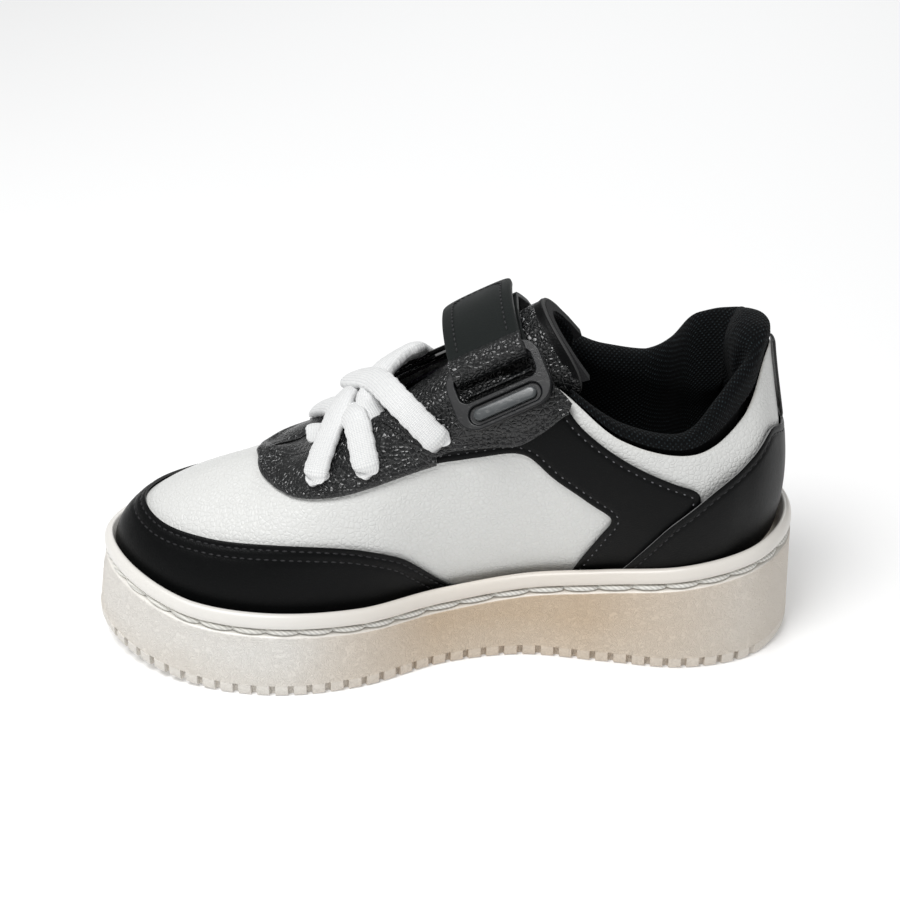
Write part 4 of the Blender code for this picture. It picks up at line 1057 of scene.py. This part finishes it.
STRAP_TILT = math.radians(26.0)
STRAP_W, STRAP_WIDTH, STRAP_Q, STRAP_THICKNESS = 57.0, 24.0, 35.0, 1.6
W_DIRECTION = np.array([math.cos(STRAP_TILT), 0.0, math.sin(STRAP_TILT)])
Q_DIRECTION = np.array([-math.sin(STRAP_TILT), 0.0, math.cos(STRAP_TILT)])
BAR = np.array([-21.0, 92.25])
BAR_RADIUS = 2.42
RING_SLOPE = math.radians(47.0)
RING_DOWN = np.array([-math.cos(RING_SLOPE), -math.sin(RING_SLOPE)])
RING_OUT = np.array([RING_DOWN[1], -RING_DOWN[0]])


def strap_point(w, y, q):
    return W_DIRECTION * w + Q_DIRECTION * q + np.array([0.0, y, 0.0])


def ring_point(w, down, out):
    y, q = BAR + RING_DOWN * down + RING_OUT * out
    return strap_point(STRAP_W + w, y, q)


def rounded_rectangle(half_width, low, high, radius, steps=9):
    """Corner arcs, joined by straight sides, in (w, down)."""
    corners = (
        (half_width - radius, high - radius, 0), (-half_width + radius, high - radius, 90),
        (-half_width + radius, low + radius, 180), (half_width - radius, low + radius, 270),
    )
    return [
        (w + radius * math.cos(angle), down + radius * math.sin(angle))
        for w, down, start in corners
        for angle in np.radians(np.linspace(start, start + 90, steps))
    ]


def ring_loops(edges):
    """Loops of points through (w, down, out), as a closed skin: each edge is a rounded rectangle."""
    rows = []
    for half, low, high, radius, out in edges:
        loop = rounded_rectangle(half, low, high, radius)
        rows.append([ring_point(w, down, out) for w, down in loop + loop[:1]])
    return np.array(rows)


def plastic_look(name, colour, pale, roughness, coat, gloss):
    """Satin moulded plastic: a very fine spark texture, faint flow marks and rubbed scratches."""
    look, shader = new_look(name, Coat_Weight=coat, Coat_Roughness=0.18, Specular_IOR_Level=gloss)
    where = node(look, "TexCoord").outputs["Object"]
    spark = noise(look, where, 5200.0)
    turned = node(look, "Mapping", {"Vector": where, "Rotation": (0.4, 0.6, 0.9), "Scale": (1.0, 9.0, 9.0)})
    scratch = noise(look, turned.outputs[0], 160.0, 4.0)
    marks = spread(look, scratch, 0.60, 0.66)
    height = sums(look, "SUBTRACT", spark, times(look, marks, 0.8))
    raised(look, shader, height, 0.35, 0.00003)
    cloud = noise(look, where, 70.0, 3.0)
    tie(look, two_colours(look, times(look, marks, 0.5), colour, pale), shader, "Base Color")
    tie(look, spread(look, cloud, 0.3, 0.7, roughness - 0.05, roughness + 0.08), shader, "Roughness")
    return look


def make_ring():
    outer, hole, pill = (15.7, -1.6, 19.8, 6.6), (12.7, 1.8, 10.6, 2.6), (11.9, 12.3, 18.4, 3.0)
    looks = [plastic_look("ring_plastic", (0.006, 0.0065, 0.0075), (0.03, 0.03, 0.03), 0.27, 0.03, 0.34)]
    bm = bmesh.new()
    loops = []
    for half, low, high, radius in (outer, hole, pill):
        spots = [
            bm.verts.new(ring_point(w, down, 1.6) * MM)
            for w, down in rounded_rectangle(half, low, high, radius)
        ]
        loops.append([bm.edges.new((a, b)) for a, b in zip(spots, spots[1:] + spots[:1])])
    bmesh.ops.triangle_fill(bm, edges=bm.edges[:], use_beauty=True)
    bmesh.ops.dissolve_limit(
        bm, angle_limit=0.01, verts=bm.verts[:], edges=[edge for edge in bm.edges if not edge.is_boundary]
    )
    pill_edges = loops[2]
    sunk = bmesh.ops.extrude_edge_only(bm, edges=pill_edges)["geom"]
    floor_verts = [item for item in sunk if isinstance(item, bmesh.types.BMVert)]
    bmesh.ops.translate(bm, verts=floor_verts, vec=Vector((ring_point(0, 0, 0) - ring_point(0, 0, 0.8)) * MM))
    bmesh.ops.edgeloop_fill(
        bm, edges=[item for item in sunk if isinstance(item, bmesh.types.BMEdge) and item.is_boundary]
    )
    outer_edges = [edge for edge in bm.edges if edge.is_boundary]
    back = bmesh.ops.extrude_edge_only(bm, edges=outer_edges)["geom"]
    back_verts = [item for item in back if isinstance(item, bmesh.types.BMVert)]
    bmesh.ops.translate(bm, verts=back_verts, vec=Vector((ring_point(0, 0, 0) - ring_point(0, 0, 3.2)) * MM))
    back_edges = [item for item in back if isinstance(item, bmesh.types.BMEdge) and item.is_boundary]
    bmesh.ops.triangle_fill(bm, edges=back_edges, use_beauty=True)
    bmesh.ops.recalc_face_normals(bm, faces=bm.faces)
    ring = piece("ring", bm, looks, body="ring", crisp=40)
    soften = ring.modifiers.new("rounded_edges", "BEVEL")
    soften.width, soften.segments, soften.limit_method = 0.75 * MM, 4, "ANGLE"
    soften.angle_limit = math.radians(50)
    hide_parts("ring_frame")
    edges = (
        (0.2, 15.2, 15.35, 0.05, 2.25), (9.0, 14.0, 16.6, 1.28, 2.3), (9.9, 13.7, 16.9, 1.58, 2.2),
        (10.3, 13.5, 17.1, 1.78, 1.9),
        (10.4, 13.4, 17.2, 1.88, 1.2), (10.4, 13.4, 17.2, 1.88, 1.0), (0.2, 15.2, 15.35, 0.05, 1.0),
    )
    bm = formed(ring_loops(edges), close=0.0005, cap=True)
    inlay = piece(
        "ring_inlay_plate", bm,
        [plastic_look("grey_inlay", (0.062, 0.068, 0.071), (0.15, 0.15, 0.15), 0.28, 0.15, 0.5)],
        body="ring", crisp=50
    )
    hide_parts("ring_inlay")


make_ring()


def in_plane(path, pieces=6):
    """A path in the strap's (y, q) plane as points in space, with the directions square to it."""
    path = smooth_path(path, pieces)
    ahead = np.gradient(path, axis=0)
    ahead /= np.linalg.norm(ahead, axis=1)[:, None]
    points = np.array([strap_point(STRAP_W, y, q) for y, q in path])
    tops = np.array([strap_point(0, -q, y) for y, q in ahead])
    return points, -tops


def make_tab():
    route = [(19.0, -4.5), (17.5, -3.6), (14.0, -3.0), (11.6, -2.8), (9.8, -2.4), (8.6, -1.2), (8.4, 0.4)]
    plane = [BAR + RING_DOWN * down + RING_OUT * out for down, out in route]
    points, tops = in_plane(plane)
    steps = np.arange(len(points))
    points = points + tops * (0.15 * np.sin(steps * 0.9))[:, None]
    bm = ribbon(points, tops, 11.2, 0.55, flat_band)
    tab = piece("ring_tab", bm, [pebbled])
    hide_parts("ring_anchor")


make_tab()

# ---- Instep strap ------------------------------------------------------------------------------
# A smooth matt strap, sewn down on the outer side: it runs over the tongue, turns up round the
# ring's bar in a pebbled fold, lies back over itself and is held by hook and loop tape. Rows of
# stitches run inside both edges and round the free end.

FLAP_RADIUS, RUN_RADIUS = 62.9, 58.4
STRAP_SIDE = ((0.62, 0.0), (0.70, 0.0), (0.78, 0.2), (0.86, 0.5), (0.93, 1.0))
strap_leather = leather(
    "black_matt_strap_leather", (0.0090, 0.0115, 0.0110), (0.022, 0.024, 0.024), 0.9, 0.00004, 0.46,
    gloss=0.16
)


def arc(radius, start, end, steps, y=0.0, q=STRAP_Q):
    angles = np.radians(np.linspace(start, end, steps))
    return [(y + radius * math.sin(angle), q + radius * math.cos(angle)) for angle in angles]


def beside_facing(height, out):
    point = on_upper(AROUND - 5.45, height, out)
    return point[1], float(point @ Q_DIRECTION)


def strap_thread(name, points, tops, off, body, last=None, ends=False):
    """Stitch rows on a strap, off mm to each side of its middle, and round its end if it has one."""
    run = lengths_along(points)
    last = run[-1] if last is None else last
    bm = bmesh.new()
    row = [(-off, at) for at in np.arange(0.0, last, 2.6)]
    row += [
        (off * math.cos(angle), last + off * 0.55 * math.sin(angle))
        for angle in np.linspace(0.1, math.pi - 0.1, 12)
    ] if ends else []
    row += [(off, at) for at in np.arange(0.0, last, 2.6)]
    for w, at in row:
        spot = read_along(run, points, at) + W_DIRECTION * w
        normal = read_along(run, tops, at)
        normal /= np.linalg.norm(normal)
        near = read_along(run, points, min(at + 1, run[-1]))
        back = read_along(run, points, at - 1)
        ahead = (near - back) / max(np.linalg.norm(near - back), 1e-6)
        if ends and abs(w) < off - 1e-6:
            across = W_DIRECTION * -math.sqrt(1 - (w / off) ** 2)
            ahead = ahead * (-w / off) * 0.55 + across
            ahead /= np.linalg.norm(ahead)
        side = np.cross(normal, ahead)
        spot = spot + normal * (STRAP_THICKNESS / 2 + 0.02)
        shape = [
            [ahead[k] * 0.95 * MM, side[k] * 0.32 * MM, normal[k] * 0.28 * MM, spot[k] * MM]
            for k in range(3)
        ]
        bmesh.ops.create_uvsphere(
            bm, u_segments=8, v_segments=5, radius=1.0, matrix=Matrix([*shape, [0, 0, 0, 1]])
        )
    return piece(name, bm, [black_thread], body=body)


def seamed_band(half, thick, count=72):
    """The strap's section: rounded cut edges, and a shallow channel under each stitch row."""
    ring = flat_band(half, thick, count)
    channel = np.exp(-(((np.abs(ring[:, 0]) - (half - 3.6)) / 0.6) ** 2)) * 0.22
    ring[:, 1] -= np.where(ring[:, 1] > 0, channel, 0.0)
    return ring


def make_strap():
    side = [beside_facing(height, 5.0 + lift) for height, lift in STRAP_SIDE]
    points, tops = in_plane([*side, *arc(RUN_RADIUS, 13.2, -12.3, 7), (-15.5, 89.6)], 8)
    if tops[len(tops) // 2][2] < 0:
        tops = -tops
    run = piece(
        "strap_lower_part", ribbon(points, tops, STRAP_WIDTH / 2, STRAP_THICKNESS / 2, seamed_band),
        [strap_leather], body=None
    )
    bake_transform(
        run, "shoe", "ring", start=Vector(points[-14] * MM) + TO_MIDDLE,
        end=Vector(points[-1] * MM) + TO_MIDDLE
    )
    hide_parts("strap_lower_run")
    strap_thread("strap_lower_thread", points[:44], tops[:44], 8.4, "shoe")
    fold_radius = BAR_RADIUS + 0.4 + STRAP_THICKNESS / 2
    fold = [(-16.0, 89.4), *arc(fold_radius, 190, 345, 9, *BAR)]
    flap = arc(FLAP_RADIUS, -17.2, 22, 18)
    points, tops = in_plane([*fold, *flap], 7)
    if tops[-1][2] < 0:
        tops = -tops
    left = np.linalg.norm(points - points[-1], axis=1)
    half_width = STRAP_WIDTH / 2
    round_end = np.sqrt(np.clip(1 - np.clip(1 - left / half_width, 0, 1) ** 2.6, 0.02, 1))
    widths = half_width * round_end
    bm = ribbon(points, tops, widths, STRAP_THICKNESS / 2, seamed_band)
    fold_length = np.linalg.norm(np.diff(points[: len(fold) * 7], axis=0), axis=1).sum()
    laid = bm.loops.layers.uv["UVMap"]
    for face in bm.faces:
        face.material_index = 1 if face.loops[0][laid].uv.y < fold_length else 0
    flap_piece = piece("strap_flap_part", bm, [strap_leather, pebbled], body=None)
    start = strap_point(STRAP_W, *arc(FLAP_RADIUS, -19.5, -19.5, 1)[0])
    end = strap_point(STRAP_W, *arc(FLAP_RADIUS, -14.5, -14.5, 1)[0])
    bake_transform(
        flap_piece, "ring", "flap", start=Vector(start * MM) + TO_MIDDLE, end=Vector(end * MM) + TO_MIDDLE
    )
    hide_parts("strap_flap", "strap_fold")
    begins = next(step for step, point in enumerate(points) if (point - end) @ np.array([0, 1.0, 0]) > 0)
    strap_thread(
        "strap_flap_thread", points[begins:], tops[begins:], 8.4, "flap",
        last=np.linalg.norm(np.diff(points[begins:], axis=0), axis=1).sum() - 9.0, ends=True
    )


make_strap()


def tape_look(name, colour, hooks):
    """Hook tape has rows of stiff little hooks, and loop tape a brushed pile."""
    look, shader = new_look(name, Roughness=0.8, Sheen_Weight=0.3 if not hooks else 0.05)
    where = node(look, "TexCoord").outputs["Object"]
    if hooks:
        height = node(
            look, "TexVoronoi", {"Vector": where, "Scale": 950.0, "Randomness": 0.25}
        ).outputs["Distance"]
    else:
        height = noise(look, where, 1900.0, 5.0, distortion=2.0)
    raised(look, shader, height, 1.0, 0.0006)
    # painted highlight: the raised hooks and the high pile are painted up to three times lighter
    tie(look, two_colours(look, height, colour, [value * 3 for value in colour]), shader, "Base Color")
    return look


dress(tape_look("black_hook_tape", (0.010, 0.010, 0.011), True), "hook_tape")
dress(tape_look("black_loop_tape", (0.010, 0.010, 0.011), False), "loop_tape")

# ---- Elastic laces -----------------------------------------------------------------------------
# Thick flat-oval laces of white knitted elastic. Each strand comes up out of one hole, crosses the
# throat and goes down another, its ends held inside; they don't tie.

EYELETS = ((7.85, 0.75), (7.13, 0.73), (6.23, 0.77))
LACE_DIVE = (  # behind the other strands, then down between the tongue and the inner facing
    (-12.4, 12.0, 93.8), (-17.6, 8.0, 92.7), (-22.6, 1.5, 90.8), (-26.0, -8.0, 85.6),
    (-24.6, -13.5, 83.2), (-22.0, -17.0, 79.5),
)
LACE_BAR = ((-43.0, -6.0, 70.5), (-43.0, 0.0, 72.5), (-43.0, 5.0, 70.5))


def knit_look(name, colour, shade):
    """Knitted elastic: columns of little slanting stitches along the band, in a soft white yarn."""
    look, shader = new_look(
        name, Roughness=0.8, Sheen_Weight=0.4, Sheen_Roughness=0.45, Specular_IOR_Level=0.3
    )
    apart = node(look, "SeparateXYZ", {0: node(look, "TexCoord").outputs["UV"]})
    across, length = apart.outputs[0], apart.outputs[1]
    column = sums(look, "PINGPONG", across, 0.45)
    slant = plus(look, times(look, length, 1.9), times(look, column, 0.9))
    stitch = sums(look, "ABSOLUTE", sums(look, "SINE", times(look, slant, math.pi), 0.0), 0.0)
    valley = spread(look, column, 0.0, 0.32)
    where = node(look, "TexCoord").outputs["Object"]
    fuzz = noise(look, where, 1500.0, 4.0, roughness=0.65)
    height = plus(look, times(look, stitch, valley), times(look, fuzz, 0.8))
    raised(look, shader, height, 0.7, 0.0002)
    tie(look, two_colours(look, spread(look, height, 0.15, 0.9), shade, colour), shader, "Base Color")
    return look


white_knit = knit_look("white_knitted_elastic", (0.90, 0.905, 0.90), (0.62, 0.63, 0.64))


def strand(name, replaced, path, first_top, last_top, half=4.4, thick=2.3, sunk=(True, True)):
    """One strand of lace; its ends narrow where they go into their holes."""
    path = smooth_path(path, 26)
    share = np.linspace(0, 1, len(path))[:, None]
    tops = first_top * (1 - share) + last_top * share
    run = lengths_along(path)
    near = np.minimum(run if sunk[0] else 99.0, run[-1] - run if sunk[1] else 99.0)
    shape = np.clip(near / 4.2, 0, 1)
    taper = 0.40 + 0.60 * np.sqrt(1 - (1 - shape) ** 2)
    wave = 1 + 0.035 * np.sin(run * 1.3) + 0.02 * np.sin(run * 3.1 + 1)
    bm = ribbon(path, tops, half * taper * wave, thick * (0.6 + 0.4 * taper), lambda a, b: oval(a, b, 28))
    lace_piece = piece(name, bm, [white_knit])
    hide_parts(replaced)


def lace(name, replaced, first, last, edges, rise, outs):
    near, far = (on_upper(place, 0.97, out + 0.6) for place, out in zip(edges, outs))
    ends = [on_upper(*hole, out) for hole, out in zip((first, last), outs)]
    deep = [on_upper(hole[0], hole[1] - 0.008, -0.4) for hole in (first, last)]
    path = [deep[0], ends[0], near, (near + far) / 2 + UP * rise, far, ends[1], deep[1]]
    strand(name, replaced, path, upper_normal(*map(np.array, first)), upper_normal(*map(np.array, last)))


def eyelet(number, side):
    place, height = EYELETS[number]
    return (place if side < 0 else AROUND - place), height


def make_laces():
    far_edge = AROUND - 7.32
    lace("lace_under", "lace_cross_under", eyelet(1, -1), eyelet(0, 1), (7.36, AROUND - 7.8), 0.6, (3.0, 3.0))
    lace("lace_front", "lace_cross_front", eyelet(0, -1), eyelet(1, 1), (7.84, far_edge), 3.4, (3.4, 3.4))
    lace("lace_top", "lace_cross_top", eyelet(2, -1), eyelet(1, 1), (6.65, far_edge), 3.8, (4.9, 6.6))
    rear = [np.array(value) for value in eyelet(2, 1)]
    dive = [
        on_upper(rear[0], rear[1] - 0.03, 0.5), on_upper(*rear, 4.6), on_upper(AROUND - 6.4, 0.97, 5.0),
        *LACE_DIVE
    ]
    strand("lace_rear", "lace_cross_rear", dive, upper_normal(*rear), UP, half=4.6, thick=2.6)
    strand("lace_bar", "lace_bar_front", LACE_BAR, UP, UP, half=3.6, thick=1.2)


make_laces()

# ---- Room and camera ---------------------------------------------------------------------------
# A plain pale floor that glows a little, so that it stays evenly pale; a broad soft light above the
# front, and a smaller, slightly cool one behind.


def soft_light(name, spot, aim, size, power, colour):
    lamp = bpy.data.lights.new(name, "AREA")
    lamp.shape, lamp.size, lamp.energy, lamp.color = "DISK", size, power, colour
    lit = bpy.data.objects.new(name, lamp)
    bpy.context.scene.collection.objects.link(lit)
    lit.location = spot
    lit.rotation_euler = (Vector(aim) - Vector(spot)).to_track_quat("-Z", "Y").to_euler()


def make_room():
    bm = bmesh.new()
    bmesh.ops.create_grid(bm, x_segments=1, y_segments=1, size=6.0)
    mesh = bpy.data.meshes.new("floor")
    bm.to_mesh(mesh)
    bm.free()
    look, shader = new_look("pale_floor", Roughness=0.9, Specular_IOR_Level=0.1)
    where = node(look, "TexCoord").outputs["Object"]
    cloud = noise(look, where, 3.0)
    tie(look, two_colours(look, cloud, (0.90, 0.90, 0.90), (0.92, 0.92, 0.92)), shader, "Base Color")
    shader.inputs["Emission Color"].default_value = (1.0, 1.0, 1.0, 1.0)
    shader.inputs["Emission Strength"].default_value = 0.16
    mesh.materials.append(look)
    ground = bpy.data.objects.new("floor", mesh)
    bpy.context.scene.collection.objects.link(ground)
    world = bpy.data.worlds.new("room")
    bpy.context.scene.world = world
    world.use_nodes = True
    world.node_tree.nodes["Background"].inputs["Color"].default_value = (1.0, 1.0, 1.0, 1.0)
    world.node_tree.nodes["Background"].inputs["Strength"].default_value = 0.34
    soft_light("key", (-0.30, -0.35, 1.0), (0.0, 0.0, 0.05), 0.55, 8.6, (1.0, 1.0, 1.0))
    soft_light("back", (0.25, 0.9, 0.75), (0.0, 0.0, 0.05), 0.4, 2.4, (0.97, 0.99, 1.0))
    bpy.context.scene.view_settings.view_transform = "Standard"


def make_camera():
    azimuth, elevation, distance = math.radians(-1.86), math.radians(31.89), 0.65827
    back = Vector(
        (
            math.sin(azimuth) * math.cos(elevation), -math.cos(azimuth) * math.cos(elevation),
            math.sin(elevation)
        )
    )
    right = Vector((math.cos(azimuth), math.sin(azimuth), 0.0))
    up = back.cross(right)
    lens = bpy.data.cameras.new("camera")
    lens.lens, lens.sensor_width, lens.clip_start = 79.99, 36.0, 0.01
    lens.shift_x, lens.shift_y = -0.0010, 0.0542
    camera = bpy.data.objects.new("camera", lens)
    bpy.context.scene.collection.objects.link(camera)
    place = Matrix((right, up, back)).transposed().to_4x4()
    place.translation = Vector((0.0, 0.0, 0.045)) + TO_MIDDLE + back * distance
    camera.matrix_world = place
    bpy.context.scene.camera = camera


make_room()
make_camera()
